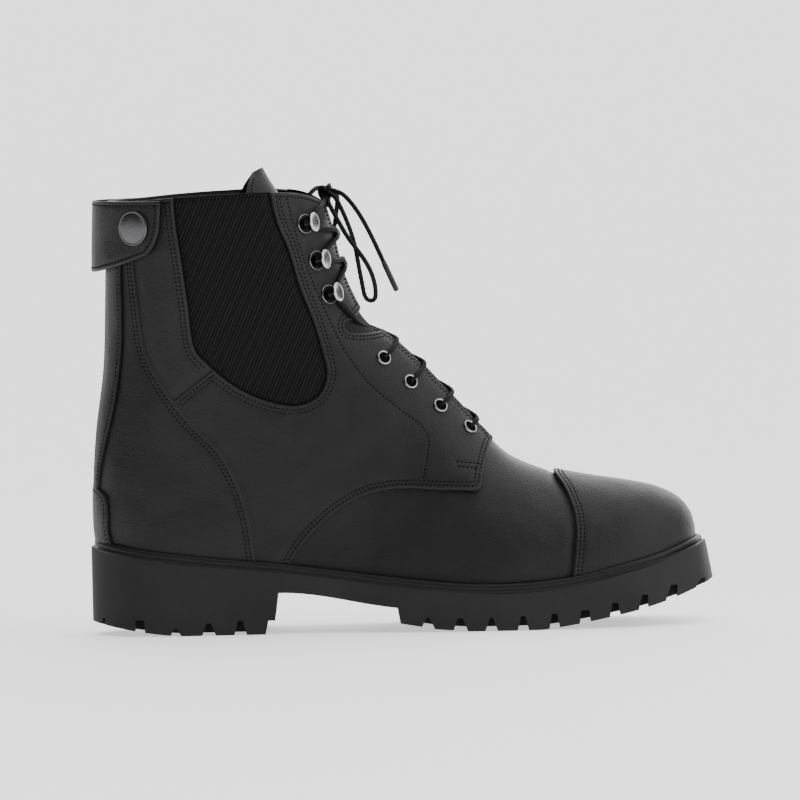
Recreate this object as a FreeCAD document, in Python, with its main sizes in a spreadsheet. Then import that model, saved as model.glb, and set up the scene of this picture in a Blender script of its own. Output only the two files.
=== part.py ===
import FreeCAD, Part
import Sketcher
import math
import os

Vector = FreeCAD.Vector

# A black leather lace-up ankle boot, right foot, in millimetres.
# +X points to the toe, +Z up, -Y is the outer (lateral) side of the foot.
# The origin lies under the middle of the sole, on the ground.

document = FreeCAD.newDocument("fire_boot")

DRIVING_DIMENSIONS = [
    ("leather_thick", 1.8, "upper leather"),
    ("overlay_thick", 1.6, "toe cap, backstay strips and heel patch"),
    ("lining_thick", 1.1, "textile and leather lining"),
    ("stiffener_thick", 1.2, "heel stiffener and facing stays"),
    ("toe_puff_thick", 0.9, "toe stiffener"),
    ("layer_gap", 0.1, "glue line between two stacked layers"),
    ("sole_overhang", 5.5, "sole edge beyond the lasted surface"),
    ("toe_flare", 8.5, "how far the sole's toe wall leans out, per sole height"),
    ("sole_top_limit", 46.0, "top of the raw sole block"),
    ("welt_height", 3.2, "welt above the sole's top line"),
    ("filler_thick", 2.5, "cork filler under the insole board"),
    ("board_thick", 2.0, "insole board"),
    ("footbed_thick", 4.5, "removable footbed"),
    ("tread_depth", 6.8, "depth of the grooves between lugs"),
    ("groove_width", 2.8, "groove of the middle lugs at its root"),
    ("groove_flare", 1.1, "extra half width of that groove at the ground"),
    ("throat_half_gap", 9.0, "half the gap between the facings"),
    ("eyelet_flange_radius", 3.5, "outer radius of an eyelet"),
    ("eyelet_barrel_radius", 2.45, "outer radius of an eyelet barrel"),
    ("eyelet_bore_radius", 1.75, "lace hole of an eyelet"),
    ("hook_base_radius", 4.8, "base washer of a speed hook"),
    ("hook_head_radius", 4.4, "head of a speed hook"),
    ("hook_stem_radius", 1.5, "neck of a speed hook"),
    ("hook_rise", 4.6, "top of the hook head above the leather"),
    ("lace_diameter", 2.3, "round waxed lace"),
    ("aglet_diameter", 2.8, "lace tip"),
    ("aglet_length", 15.0, "lace tip"),
    ("knot_radius", 4.6, "bow knot"),
    ("snap_cap_radius", 8.5, "visible cap of the snap fastener"),
    ("snap_cap_thick", 1.8, "visible cap of the snap fastener"),
    ("snap_post_radius", 2.0, "rivet post of the cap, through the tab"),
    ("socket_radius", 7.2, "outer radius of the snap socket"),
    ("socket_cavity_radius", 6.0, "inner radius of the snap socket"),
    ("socket_thick", 2.0, "depth of the snap socket"),
    ("socket_roof", 0.3, "closed back of the snap socket"),
    ("stud_base_radius", 5.0, "flange of the snap stud"),
    ("stud_base_thick", 0.6, "flange of the snap stud"),
    ("stud_radius", 2.6, "button of the snap stud"),
    ("stud_rise", 2.2, "button of the snap stud above the leather"),
    ("zip_half_gap", 5.2, "half the gap between the backstay strips"),
    ("zip_slot_half", 0.6, "half the slot that the slider post runs in"),
    ("tooth_width", 2.8, "one zip tooth, across the boot"),
    ("tooth_height", 1.6, "one zip tooth, along the zip"),
    ("tooth_depth", 2.4, "one zip tooth, front to back"),
    ("tooth_pitch", 3.0, "spacing of the teeth on one side"),
    ("tape_width", 9.5, "zip tape on one side"),
    ("slider_width", 6.6, "zip slider"),
    ("slider_length", 9.0, "zip slider"),
    ("slider_plate", 1.1, "thickness of each slider plate"),
    ("slider_play", 0.3, "clearance between slider and teeth"),
    ("ear_height", 2.4, "pull bracket of the slider"),
    ("pin_radius", 0.6, "pull pin"),
    ("pull_length", 15.0, "zip pull"),
    ("pull_width", 5.0, "zip pull"),
    ("pull_thick", 1.2, "zip pull"),
    ("shank_length", 96.0, "spring-steel shank"),
    ("shank_width", 14.0, "spring-steel shank"),
    ("shank_thick", 1.2, "spring-steel shank"),
]

sheet = document.addObject("Spreadsheet::Sheet", "dimensions")
for row_number, (alias, value, note) in enumerate(DRIVING_DIMENSIONS, start=1):
    sheet.set(f"A{row_number}", alias.replace("_", " "))
    sheet.set(f"B{row_number}", str(value))
    sheet.set(f"C{row_number}", note)
    sheet.setAlias(f"B{row_number}", alias)
document.recompute()


def dim(alias):
    return float(sheet.get(alias))


# ---------------------------------------------------------------- the lasted surface
# The upper follows a fan of sections, from the collar (level) round the heel to the
# toe (upright). Each row: front point (x, z), back or bottom point (x, z), lateral and
# medial half-widths, where along the section it is widest, bluntness of its front and
# back ends, and the y of its middle. Below the sole's top line the surface is cut off.
STATIONS = [
    ((-37.0, 218.0), (-133.4, 218.0), 41.5, 41.5, 0.52, 0.20, 0.20, 0.0),
    ((-29.8, 197.0), (-134.3, 196.0), 41.0, 41.0, 0.52, 0.20, 0.22, 0.0),
    ((-23.2, 170.0), (-135.2, 168.0), 38.5, 38.5, 0.53, 0.22, 0.25, 0.0),
    ((-12.5, 149.5), (-137.0, 129.0), 35.5, 35.5, 0.55, 0.28, 0.32, 0.0),
    ((-1.0, 140.5), (-141.5, 96.0), 34.0, 34.0, 0.57, 0.34, 0.38, 0.0),
    ((8.5, 132.0), (-143.6, 63.0), 34.0, 34.0, 0.58, 0.36, 0.42, 0.0),
    ((15.5, 125.5), (-142.2, 42.0), 34.5, 34.5, 0.58, 0.36, 0.42, 0.0),
    ((20.5, 120.0), (-136.0, 18.0), 35.0, 35.0, 0.57, 0.36, 0.42, 0.0),
    ((25.5, 114.8), (-112.0, -4.0), 34.5, 33.5, 0.56, 0.34, 0.36, 0.0),
    ((32.0, 107.5), (-70.0, -14.0), 35.5, 32.0, 0.57, 0.30, 0.25, 0.0),
    ((40.5, 97.0), (-24.0, -16.0), 40.0, 36.0, 0.60, 0.18, 0.20, 0.0),
    ((53.0, 83.6), (18.0, -15.0), 45.5, 43.0, 0.61, 0.05, 0.15, 0.0),
    ((70.0, 75.4), (52.0, -10.0), 47.0, 47.0, 0.60, 0.00, 0.15, 0.0),
    ((90.0, 70.6), (82.0, -5.0), 45.0, 46.0, 0.58, 0.05, 0.15, 1.0),
    ((110.0, 67.2), (107.0, 4.0), 40.0, 41.5, 0.57, 0.12, 0.15, 2.0),
    ((124.0, 64.0), (124.0, 14.0), 33.5, 34.5, 0.57, 0.16, 0.15, 3.0),
    ((134.0, 59.2), (134.0, 22.0), 25.0, 26.0, 0.56, 0.16, 0.15, 4.0),
    ((139.6, 53.0), (139.6, 27.0), 16.0, 16.5, 0.54, 0.10, 0.10, 4.6),
    ((142.0, 46.0), (142.0, 31.0), 5.0, 5.0, 0.50, 0.00, 0.00, 5.0),
]
STATION_ROWS = [[*front, *back, *rest] for front, back, *rest in STATIONS]
LAST_STATION = len(STATION_ROWS) - 1
SECTION_POINTS = 28
SECTIONS_PER_STATION = 2
SLOPE_STEP = 0.02

# Side-view lines, as (x, z) points.
SOLE_TOP_LINE = [(-170, 45.5), (-148, 42.3), (-122.8, 37.1), (-91.3, 32.9), (-59.8, 29.8), (-28.4, 25.6),
                 (9.3, 20.6), (37.9, 18.0), (64.6, 18.2), (85.5, 20.6), (106.4, 25.3), (127.9, 31.0),
                 (147.5, 38.3), (170, 46.0)]
COLLAR_LINE = [(-170, 209.3), (-124, 209.3), (-104.8, 210.6), (-82.5, 211.8), (-57.2, 212.4), (-40.8, 210.5),
               (-30.7, 205.5), (0, 180)]
COUNTER_EDGE = [(-124.2, 240), (-124.2, 180.7), (-122.4, 160.3), (-119.5, 137.9), (-112.6, 122.7),
                (-99.4, 103.8), (-84.8, 88.5), (-75.3, 69.8), (-70.1, 48.5), (-67.0, 10)]
BACKSTAY_EDGE = [(-130.2, 240), (-131.1, 177.4), (-131.7, 138.2), (-135.5, 112.5), (-139.4, 96.8),
                 (-142.9, 82.6), (-146, 60)]
HEEL_PATCH_EDGE = [(-165, 74.5), (-147.8, 72.1), (-144.3, 70.5), (-140.8, 67.1), (-139.9, 59.3),
                   (-139.8, 50.0), (-134, 30)]
GORE_REAR_EDGE = [(-105.6, 240), (-103.7, 200.6), (-100.8, 178.2), (-98.5, 159.7), (-95.6, 137.4),
                  (-91.1, 131.7), (-77.1, 119.6), (-61.0, 111.8), (-45.9, 109.6), (-36.2, 114.2),
                  (-32.0, 124.3), (-33.9, 135.7), (-38.0, 150.6), (-44.0, 166.4), (-49.1, 185.1),
                  (-54.4, 198.8), (-62, 240)]
REAR_QUARTER_SEAM = [(-126, 98.5), (-106.4, 113.1), (-91.2, 124.4), (-80, 133)]
QUARTER_LOWER_EDGE = [(-58, 15), (-51.0, 34.5), (-42.5, 46.4), (-27.7, 59.2), (-12.9, 66.6), (1.7, 68.7),
                      (21.0, 67.8), (40.4, 66.9)]
QUARTER_FRONT_EDGE = [(40.4, 66.9), (41.9, 75.5), (45.0, 85.7), (48.2, 96.0), (60, 125)]
VAMP_REAR_EDGE = [(-70, 10), (-62, 40), (-46, 56), (-26, 68.5), (-5, 76), (14, 78.5), (26, 86), (31, 99),
                  (32, 125)]
TOE_CAP_SEAM = [(72, 90), (76.5, 74.8), (80.7, 68.1), (83.3, 62.0), (85.3, 55.0), (85.9, 46.5), (85.2, 37.7),
                (83.5, 20), (83, 0)]
FACING_STAY_EDGE = [(-52, 240), (-49.5, 209.8), (-43.6, 184.9), (-38.9, 171.2), (-30.0, 149.0),
                    (-22.4, 133.3), (-10.9, 118.1), (2.2, 106.6), (12.4, 98.3), (15.6, 88.0)]
HEEL_STIFFENER_EDGE = [(-160, 96), (-128, 94), (-108, 84), (-92, 66), (-84, 44), (-80, 10)]
TOE_STIFFENER_EDGE = [(86, 100), (90, 70), (95, 45), (96, 0)]

# Hardware places on the lateral side, as (x, z); the medial side repeats them.
EYELET_PLACES = [(-4.7, 131.0), (7.9, 119.2), (22.0, 107.3), (36.0, 96.6)]
HOOK_PLACES = [(-39.4, 198.6), (-34.8, 180.8), (-29.0, 164.0)]
SNAP_PLACE = (-119.6, 196.7)

SIDES = {"lateral": -1.0, "medial": 1.0}
FAR = 200.0


def station_values(place):
    """The section's values at a real-valued station number, by a Catmull-Rom curve."""
    place = min(max(place, 0.0), float(LAST_STATION))
    index = min(int(place), LAST_STATION - 1)
    part = place - index

    def row(number):
        if number < 0:
            return [2 * a - b for a, b in zip(STATION_ROWS[0], STATION_ROWS[1])]
        if number > LAST_STATION:
            return [2 * a - b for a, b in zip(STATION_ROWS[-1], STATION_ROWS[-2])]
        return STATION_ROWS[number]

    values = []
    for a, b, c, d in zip(row(index - 1), row(index), row(index + 1), row(index + 2)):
        cubic = (-a + 3 * b - 3 * c + d) * part ** 3
        square = (2 * a - 5 * b + 4 * c - d) * part ** 2
        values.append(0.5 * (2 * b + (c - a) * part + square + cubic))
    return values


def section_point(place, angle):
    """A point of a section: angle 0 is its front, pi its back, negative angles are lateral."""
    front_x, front_z, back_x, back_z, lateral, medial, widest, blunt_front, blunt_back, middle = \
        station_values(place)
    cosine = math.cos(angle)
    sine = math.sin(angle)
    half_width = medial if sine > 0 else lateral
    blunt = blunt_front if cosine > 0 else blunt_back
    along = widest * (1 - cosine) if cosine > 0 else widest - (1 - widest) * cosine
    across = middle + half_width * sine * (1 + blunt * cosine ** 2)
    return Vector(front_x + along * (back_x - front_x), across, front_z + along * (back_z - front_z))


def surface_normal(place, angle):
    after = section_point(min(place + SLOPE_STEP, LAST_STATION), angle)
    before = section_point(max(place - SLOPE_STEP, 0.0), angle)
    around = section_point(place, angle + SLOPE_STEP) - section_point(place, angle - SLOPE_STEP)
    normal = (after - before).cross(around)
    if place <= 0:
        normal.z = 0
    return normal.normalize()


def offset_point(place, angle, offset):
    point = section_point(place, angle)
    normal = surface_normal(place, angle)
    if place < LAST_STATION:
        return point + normal * offset
    flat = point + Vector(0, normal.y, normal.z) * (0.3 * offset)
    flat.x = point.x + offset
    return flat


def skin(offset):
    """The closed solid inside the lasted surface, moved outwards by offset.

    offset is a number, or a function of the station number and the section angle.
    """
    rule = offset if callable(offset) else lambda place, angle: offset
    rows = []
    for step in range(LAST_STATION * SECTIONS_PER_STATION + 1):
        place = step / SECTIONS_PER_STATION
        angles = [2 * math.pi * k / SECTION_POINTS - math.pi for k in range(SECTION_POINTS)]
        row = [offset_point(place, angle, rule(place, angle)) for angle in angles]
        rows.append(row + [row[0]])
    surface = Part.BSplineSurface()
    surface.interpolate(rows)
    first, last, _, _ = surface.bounds()
    caps = [Part.Face(Part.Wire([surface.uIso(end).toShape()])) for end in (first, last)]
    shell = Part.makeShell([surface.toShape()] + caps)
    shell.sewShape()
    return Part.Solid(shell.Shells[0])


def surface_address(x, z, side):
    """The station number and angle of the point seen at (x, z) from one side."""
    def side_of_section(place):
        front_x, front_z, back_x, back_z = station_values(place)[:4]
        return (back_x - front_x) * (z - front_z) - (back_z - front_z) * (x - front_x)

    low = 0.0
    high = float(LAST_STATION)
    low_sign = side_of_section(low)
    for _ in range(60):
        middle = 0.5 * (low + high)
        if side_of_section(middle) * low_sign > 0:
            low = middle
        else:
            high = middle
    values = station_values(low)
    front_x, front_z, back_x, back_z, _, _, widest = values[:7]
    length = math.hypot(back_x - front_x, back_z - front_z)
    along = ((x - front_x) * (back_x - front_x) + (z - front_z) * (back_z - front_z)) / length ** 2
    along = min(max(along, 0.0), 1.0)
    cosine = 1 - along / widest if along < widest else -(along - widest) / (1 - widest)
    return low, side * math.acos(min(max(cosine, -1.0), 1.0))


def surface_frame(x, z, side, offset):
    """A placement on the surface seen at (x, z): its z axis is the outward normal."""
    place, angle = surface_address(x, z, side)
    normal = surface_normal(place, angle)
    point = section_point(place, angle) + normal * offset
    return FreeCAD.Placement(point, FreeCAD.Rotation(Vector(0, 0, 1), normal)), normal


# ---------------------------------------------------------------- side-view prisms
def side_edge(points):
    """A smooth edge through side-view points, in the plane y = 0."""
    curve = Part.BSplineCurve()
    curve.interpolate([Vector(x, 0, z) for x, z in points])
    return curve.toShape()


def side_prism(edges, low_y, high_y):
    face = Part.Face(Part.Wire(edges))
    face.translate(Vector(0, low_y, 0))
    return face.extrude(Vector(0, high_y - low_y, 0))


def region(points, corners, low_y=-FAR, high_y=FAR):
    """Everything between a smooth side-view line and straight runs through the corners."""
    chain = [points[-1], *corners, points[0]]
    edges = [side_edge(points)]
    for (x_a, z_a), (x_b, z_b) in zip(chain, chain[1:]):
        edges.append(Part.makeLine(Vector(x_a, 0, z_a), Vector(x_b, 0, z_b)))
    return side_prism(edges, low_y, high_y)


def raised(points, rise):
    return [(x, z + rise) for x, z in points]


def half_space(side):
    low_y = -FAR if side < 0 else 0.0
    return Part.makeBox(2 * FAR, FAR, 2 * FAR, Vector(-FAR, low_y, -FAR / 2))


above_sole = region(SOLE_TOP_LINE, [(170, 300), (-170, 300)])
below_collar = region(COLLAR_LINE, [(170, 180), (170, -50), (-170, -50)])
upper_zone = above_sole.common(below_collar)

throat_gap = region(
    [(-75, 235), (-55, 190), (-42, 160), (-30, 138), (-12, 120), (12, 98), (28, 80)],
    [(60, 70), (80, 110), (20, 235)], -dim("throat_half_gap"), dim("throat_half_gap"))
lining_gap = region(
    [(-75, 235), (-62, 190), (-52, 160), (-38, 130), (-18, 112), (6, 92), (20, 82)],
    [(32, 90), (44, 130), (20, 235)], -26.0, 26.0)
zip_gap = Part.makeBox(60, 2 * dim("zip_half_gap"), 150, Vector(-170, -dim("zip_half_gap"), 79))

counter_zone = region(COUNTER_EDGE, [(-170, 10), (-170, 240)])
backstay_zone = region(BACKSTAY_EDGE, [(-170, 60), (-170, 240)])
heel_patch_zone = region(HEEL_PATCH_EDGE, [(-165, 30)])
gore_zone = region(GORE_REAR_EDGE, [])
rear_quarter_zone = region(REAR_QUARTER_SEAM, [(-80, 240), (-126, 240)])
AHEAD_CORNERS = [
    Vector(60, 0, 125),
    Vector(170, 0, 125),
    Vector(170, 0, 0),
    Vector(-58, 0, 0),
    Vector(-58, 0, 15),
]
vamp_cut_edge = [side_edge(QUARTER_LOWER_EDGE), side_edge(QUARTER_FRONT_EDGE)]
vamp_cut_edge += [Part.makeLine(a, b) for a, b in zip(AHEAD_CORNERS, AHEAD_CORNERS[1:])]
ahead_of_quarter = side_prism(vamp_cut_edge, -FAR, FAR)
vamp_zone = region(VAMP_REAR_EDGE, [(170, 125), (170, 0), (-70, 0)])
toe_zone = region(TOE_CAP_SEAM, [(170, 0), (170, 90)])

# ---------------------------------------------------------------- layers of the upper
gap = dim("layer_gap")
leather = dim("leather_thick")
overlay = dim("overlay_thick")
SHAFT_LINING_DEPTH = dim("stiffener_thick") + 3 * gap
FOOT_LINING_DEPTH = leather + dim("toe_puff_thick") + 4 * gap


def lining_depth(place, angle):
    """The lining lies close behind the shaft leather and deeper under the vamp and toe."""
    rise = min(max((place - 3.0) / 4.0, 0.0), 1.0)
    return -(SHAFT_LINING_DEPTH + (FOOT_LINING_DEPTH - SHAFT_LINING_DEPTH) * rise * rise * (3 - 2 * rise))


def layer(outer, inner):
    return skin(outer).cut(skin(inner)).common(upper_zone)


high_layer = layer(leather + gap, gap)
low_layer = layer(0.0, -leather)
stay_layer = layer(-gap, -gap - dim("stiffener_thick"))
lining_skin = skin(lining_depth)
lining_inner_skin = skin(lambda place, angle: lining_depth(place, angle) - dim("lining_thick"))
lining_layer = lining_skin.cut(lining_inner_skin).common(upper_zone)

parts = []


def keep(label, shape, placement=None):
    """Adds one finished freeform piece to the document as a Part::Feature."""
    feature = document.addObject("Part::Feature", label)
    feature.Label = label
    feature.Shape = shape
    if placement is not None:
        feature.Placement = placement
    parts.append(feature)
    return feature


def largest(shape, count=1):
    """The biggest solids of a boolean result, without its slivers."""
    solids = sorted(shape.Solids, key=lambda solid: solid.Volume, reverse=True)[:count]
    return solids[0] if count == 1 else Part.makeCompound(solids)


def eyelet_holes(side, radius):
    holes = []
    for x, z in EYELET_PLACES:
        placement, _ = surface_frame(x, z, side, 0.0)
        hole = Part.makeCylinder(radius, 12, Vector(0, 0, -6))
        hole.Placement = placement
        holes.append(hole)
    return Part.makeCompound(holes)


def build_upper_panels():
    hole_radius = dim("eyelet_barrel_radius") + gap
    for name, side in SIDES.items():
        half = high_layer.common(half_space(side))
        rear = half.common(counter_zone).cut(zip_gap)
        keep(f"counter_{name}", largest(rear))
        front = half.cut(counter_zone).cut(throat_gap)
        gore_skin = front.common(gore_zone)
        keep(f"gore_{name}", largest(gore_skin))
        body = front.cut(gore_zone)
        keep(f"rear_quarter_{name}", largest(body.common(rear_quarter_zone)))
        quarter = largest(body.cut(rear_quarter_zone).cut(ahead_of_quarter))
        keep(f"quarter_{name}", largest(quarter.cut(eyelet_holes(side, hole_radius))))

    vamp = low_layer.common(vamp_zone)
    for side in SIDES.values():
        vamp = vamp.cut(eyelet_holes(side, dim("eyelet_flange_radius")))
    keep("vamp", largest(vamp))
    cap_layer = layer(overlay + gap, gap).common(toe_zone)
    keep("toe_cap", largest(cap_layer))
    for name, side in SIDES.items():
        strips = layer(leather + overlay + 2 * gap, leather + 2 * gap).common(half_space(side))
        strip = strips.common(backstay_zone).cut(zip_gap).cut(heel_patch_zone)
        keep(f"backstay_{name}", largest(strip))
    patch = layer(leather + overlay + 2 * gap, leather + 2 * gap).common(heel_patch_zone)
    keep("heel_patch", largest(patch))


def build_inner_layers():
    keep("lining", largest(lining_layer.cut(lining_gap).cut(zip_gap)))
    stiffener_zone = region(HEEL_STIFFENER_EDGE, [(-170, 10), (-170, 96)])
    keep("heel_stiffener", largest(stay_layer.common(stiffener_zone).cut(zip_gap)))
    puff_layer = layer(-leather - gap, -leather - gap - dim("toe_puff_thick"))
    puff_zone = region(TOE_STIFFENER_EDGE, [(170, 0), (170, 100)])
    keep("toe_stiffener", largest(puff_layer.common(puff_zone)))
    stay_zone = region(FACING_STAY_EDGE, [(60, 88), (60, 240)])
    hole_radius = dim("eyelet_barrel_radius") + gap
    for name, side in SIDES.items():
        stay = stay_layer.common(half_space(side)).cut(throat_gap).common(stay_zone)
        stay = stay.cut(ahead_of_quarter).cut(vamp_zone)
        keep(f"facing_stay_{name}", largest(stay.cut(eyelet_holes(side, hole_radius))))


# ---------------------------------------------------------------- the bottom
def sole_top(x):
    """Height of the sole's top line, by straight interpolation between its points."""
    for (x_a, z_a), (x_b, z_b) in zip(SOLE_TOP_LINE, SOLE_TOP_LINE[1:]):
        if x_a <= x <= x_b:
            return z_a + (z_b - z_a) * (x - x_a) / (x_b - x_a)
    return SOLE_TOP_LINE[-1][1]


def feather_angle(place):
    """The section angle, in 0..pi, at which a section meets the sole's top line."""
    low = math.pi / 4
    high = math.pi
    for _ in range(40):
        middle = 0.5 * (low + high)
        point = section_point(place, middle)
        if point.z > sole_top(point.x):
            low = middle
        else:
            high = middle
    return low


FEATHER_PLACES = [6.1, 6.5, 7.0, 7.6, 8.3, 9.0, 9.7, 10.4, 11.1, 11.8, 12.5, 13.2, 14.0, 14.8, 15.5, 16.2,
                  16.9, 17.5]


def sole_outline(margin, height, flare):
    """A closed wire at one height, around the lasted surface's edge on the sole."""
    medial = []
    lateral = []
    for place in FEATHER_PLACES:
        angle = feather_angle(place)
        for side, points in ((1, medial), (-1, lateral)):
            point = section_point(place, side * angle)
            outward = surface_normal(place, side * angle)
            outward.z = 0
            outward.normalize()
            toe_share = min(max((point.x - 92) / 50, 0.0), 1.0)
            point = point + outward * (margin + flare * toe_share)
            points.append(Vector(point.x, point.y, height))
    heel = section_point(6.0, math.pi)
    toe = section_point(LAST_STATION, 0.0)
    heel_point = Vector(heel.x - margin - 0.4, 0, height)
    toe_point = Vector(toe.x + margin + flare, toe.y, height)
    curve = Part.BSplineCurve()
    curve.interpolate(Points=[heel_point, *medial, toe_point, *reversed(lateral)], PeriodicFlag=True)
    return Part.Wire([curve.toShape()])


def sole_block(margin, flare):
    """A solid round the whole sole outline, taller than the sole at both ends."""
    bottom = sole_outline(margin, -2.0, flare)
    top = sole_outline(margin, dim("sole_top_limit"), 0.0)
    return Part.makeLoft([bottom, top], True, True)


HEEL_BREAST = [(-64.4, 0.0), (-62.9, 6.6), (-59.7, 6.6), (-57.9, 19.8)]
FOREPART_X = 0.5


def sole_underside():
    """Side-view edges of the sole's bottom, from the heel's back to the toe."""
    def line(a, b):
        return Part.makeLine(Vector(a[0], 0, a[1]), Vector(b[0], 0, b[1]))

    heel_back = [(-170, 11.0), (-143.3, 5.6), (-124, 2.0), (-106, 0.0)]
    forepart = [(68, 0.0), (86.5, 2.4), (101.6, 5.2), (115.3, 8.2), (128, 11.8), (145.4, 18.2), (170, 30)]
    arch = [HEEL_BREAST[-1], (-44.2, 19.0), (-23.3, 15.4), (-0.8, 11.7)]
    return [
        side_edge(heel_back),
        line((-106, 0.0), HEEL_BREAST[0]),
        *(line(a, b) for a, b in zip(HEEL_BREAST, HEEL_BREAST[1:])),
        side_edge(arch),
        line(arch[-1], (FOREPART_X, 4.2)),
        line((FOREPART_X, 4.2), (18, 1.2)),
        line((18, 1.2), (34, 0.0)),
        line((34, 0.0), (68, 0.0)),
        side_edge(forepart),
    ]


def build_outsole():
    underside = sole_underside()
    top_right = SOLE_TOP_LINE[-1]
    edges = underside + [
        Part.makeLine(Vector(170, 0, 30), Vector(top_right[0], 0, top_right[1])),
        side_edge(SOLE_TOP_LINE),
        Part.makeLine(Vector(-170, 0, 45.5), Vector(-170, 0, 11.0)),
    ]
    sole = sole_block(dim("sole_overhang"), dim("toe_flare")).common(side_prism(edges, -FAR, FAR))
    keep("outsole", largest(sole.cut(Part.makeCompound(tread_grooves()))))


# Each groove at the sole's edge: place, height of the ground there, width at the root, at the mouth, depth.
HEEL_GROOVES = [
    (-142.5, 6.0, 1.2, 1.6, 2.4),
    (-124.8, 2.2, 4.0, 4.8, 5.6),
    (-107.6, 0.3, 1.2, 5.0, 3.4),
    (-91.6, 0.0, 2.2, 6.6, 5.8),
    (-76.4, 0.0, 2.2, 6.0, 6.8),
]
FOREPART_GROOVES = [
    (13.6, 1.9, 1.4, 6.2, 5.0),
    (29.2, 0.4, 2.4, 6.8, 6.0),
    (44.1, 0.0, 1.2, 6.0, 6.6),
    (59.3, 0.0, 2.0, 5.4, 6.8),
    (74.4, 0.7, 2.6, 5.0, 6.8),
    (89.2, 2.8, 3.8, 5.4, 6.0),
    (103.6, 5.6, 2.8, 5.2, 6.2),
    (117.4, 8.7, 2.8, 4.6, 6.6),
    (131.0, 12.7, 3.2, 5.2, 6.6),
    (145.0, 18.2, 2.4, 3.4, 3.4),
]
GROOVE_INNER_Y = 16.0
CENTRE_CHANNEL = 3.2
HEEL_CHANNEL = (-132, 82)
FOREPART_CHANNEL = (-6, 126)
MIDDLE_ROW_SHIFT = 7.8
GROOVE_LEAN = 2.0
TOE_CURVE = (100.0, 45.0)


def groove(x, ground, root, mouth, depth, low_y, high_y, lean):
    """One tapered groove across the tread, from low_y to high_y."""
    below = ground - 8
    outline = [(x - mouth / 2, below), (x - mouth / 2, ground), (x - root / 2 + lean, ground + depth),
               (x + root / 2 + lean, ground + depth), (x + mouth / 2, ground), (x + mouth / 2, below)]
    points = [Vector(px, low_y, pz) for px, pz in outline]
    face = Part.Face(Part.makePolygon(points + [points[0]]))
    return face.extrude(Vector(0, high_y - low_y, 0))


def tread_grooves():
    """Open edge grooves on both sides, two lengthwise channels and the middle row's grooves."""
    grooves = []
    width = dim("groove_width")
    mouth_width = width + 2 * dim("groove_flare")
    depth = dim("tread_depth")
    for places in (HEEL_GROOVES, FOREPART_GROOVES):
        for x, ground, root, mouth, deep in places:
            lean = GROOVE_LEAN * max(0.0, (x - TOE_CURVE[0]) / TOE_CURVE[1])
            grooves.append(groove(x, ground, root, mouth, deep, GROOVE_INNER_Y, FAR, lean))
            grooves.append(groove(x, ground, root, mouth, deep, -FAR, -GROOVE_INNER_Y, lean))
        for x, ground, *_ in places[:-1]:
            grooves.append(groove(x + MIDDLE_ROW_SHIFT, ground, width, mouth_width, depth,
                                  -GROOVE_INNER_Y, GROOVE_INNER_Y, 0.0))
    for side in (-1, 1):
        low_y = side * (GROOVE_INNER_Y - CENTRE_CHANNEL / 2) - CENTRE_CHANNEL / 2
        for start, length in (HEEL_CHANNEL, FOREPART_CHANNEL):
            grooves.append(Part.makeBox(length, CENTRE_CHANNEL, depth + 4, Vector(start, low_y, -4)))
    return grooves


def build_bottom_stack():
    welt_band = above_sole.common(
        region(raised(SOLE_TOP_LINE, dim("welt_height")), [(170, -50), (-170, -50)]))
    ring = sole_block(dim("sole_overhang") - 0.6, 2.0).common(welt_band)
    keep("welt", largest(ring.cut(skin(leather + overlay + 3 * gap))))

    inside = skin(-leather - gap)
    levels = [("bottom_filler", inside, 0.0, dim("filler_thick"))]
    board_low = dim("filler_thick")
    board_high = board_low + dim("board_thick")
    levels.append(("insole_board", lining_inner_skin, board_low, board_high))
    footbed_high = board_high + dim("footbed_thick")
    levels.append(("footbed", skin(lambda place, angle: lining_depth(place, angle) - 1.6),
                   board_high, footbed_high))
    for name, boundary, low, high in levels:
        band = region(raised(SOLE_TOP_LINE, low), [(170, 300), (-170, 300)])
        band = band.common(region(raised(SOLE_TOP_LINE, high), [(170, -50), (-170, -50)]))
        slab = boundary.common(band)
        if name == "bottom_filler":
            slab = lining_inner_skin.common(band).cut(shank_pocket())
        keep(name, largest(slab))


def shank_line(depth):
    """Side-view points of the shank's bow, depth above the sole's top line."""
    start = -88.0
    step = dim("shank_length") / 4
    return [(start + step * k, sole_top(start + step * k) + depth) for k in range(5)]


def shank_pocket():
    half = dim("shank_width") / 2 + gap
    corners = shank_line(0.4) + shank_line(0.4 + dim("shank_thick") + 2 * gap)[::-1]
    points = [Vector(x, -half, z) for x, z in corners]
    return Part.Face(Part.makePolygon(points + [points[0]])).extrude(Vector(0, 2 * half, 0))


def origin_plane(body, role):
    return next(plane for plane in body.Origin.OriginFeatures if plane.Role == role)


def new_body(label, placement=None):
    body = document.addObject("PartDesign::Body", label)
    body.Label = label
    if placement is not None:
        body.Placement = placement
    parts.append(body)
    return body


def new_sketch(body, name, role):
    sketch = body.newObject("Sketcher::SketchObject", name)
    sketch.AttachmentSupport = [(origin_plane(body, role), "")]
    sketch.MapMode = "FlatFace"
    return sketch


def draw_polygon(sketch, corners):
    """Straight sides joined end to end by coincident constraints."""
    first = sketch.GeometryCount
    count = len(corners)
    for k, (x_a, y_a) in enumerate(corners):
        x_b, y_b = corners[(k + 1) % count]
        sketch.addGeometry(Part.LineSegment(Vector(x_a, y_a, 0), Vector(x_b, y_b, 0)), False)
    for k in range(count):
        sketch.addConstraint(Sketcher.Constraint("Coincident", first + k, 2, first + (k + 1) % count, 1))


def pad(body, sketch, name, length, midplane=False):
    feature = body.newObject("PartDesign::Pad", name)
    feature.Profile = sketch
    feature.setExpression("Length", length)
    feature.Midplane = midplane
    return feature


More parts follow.
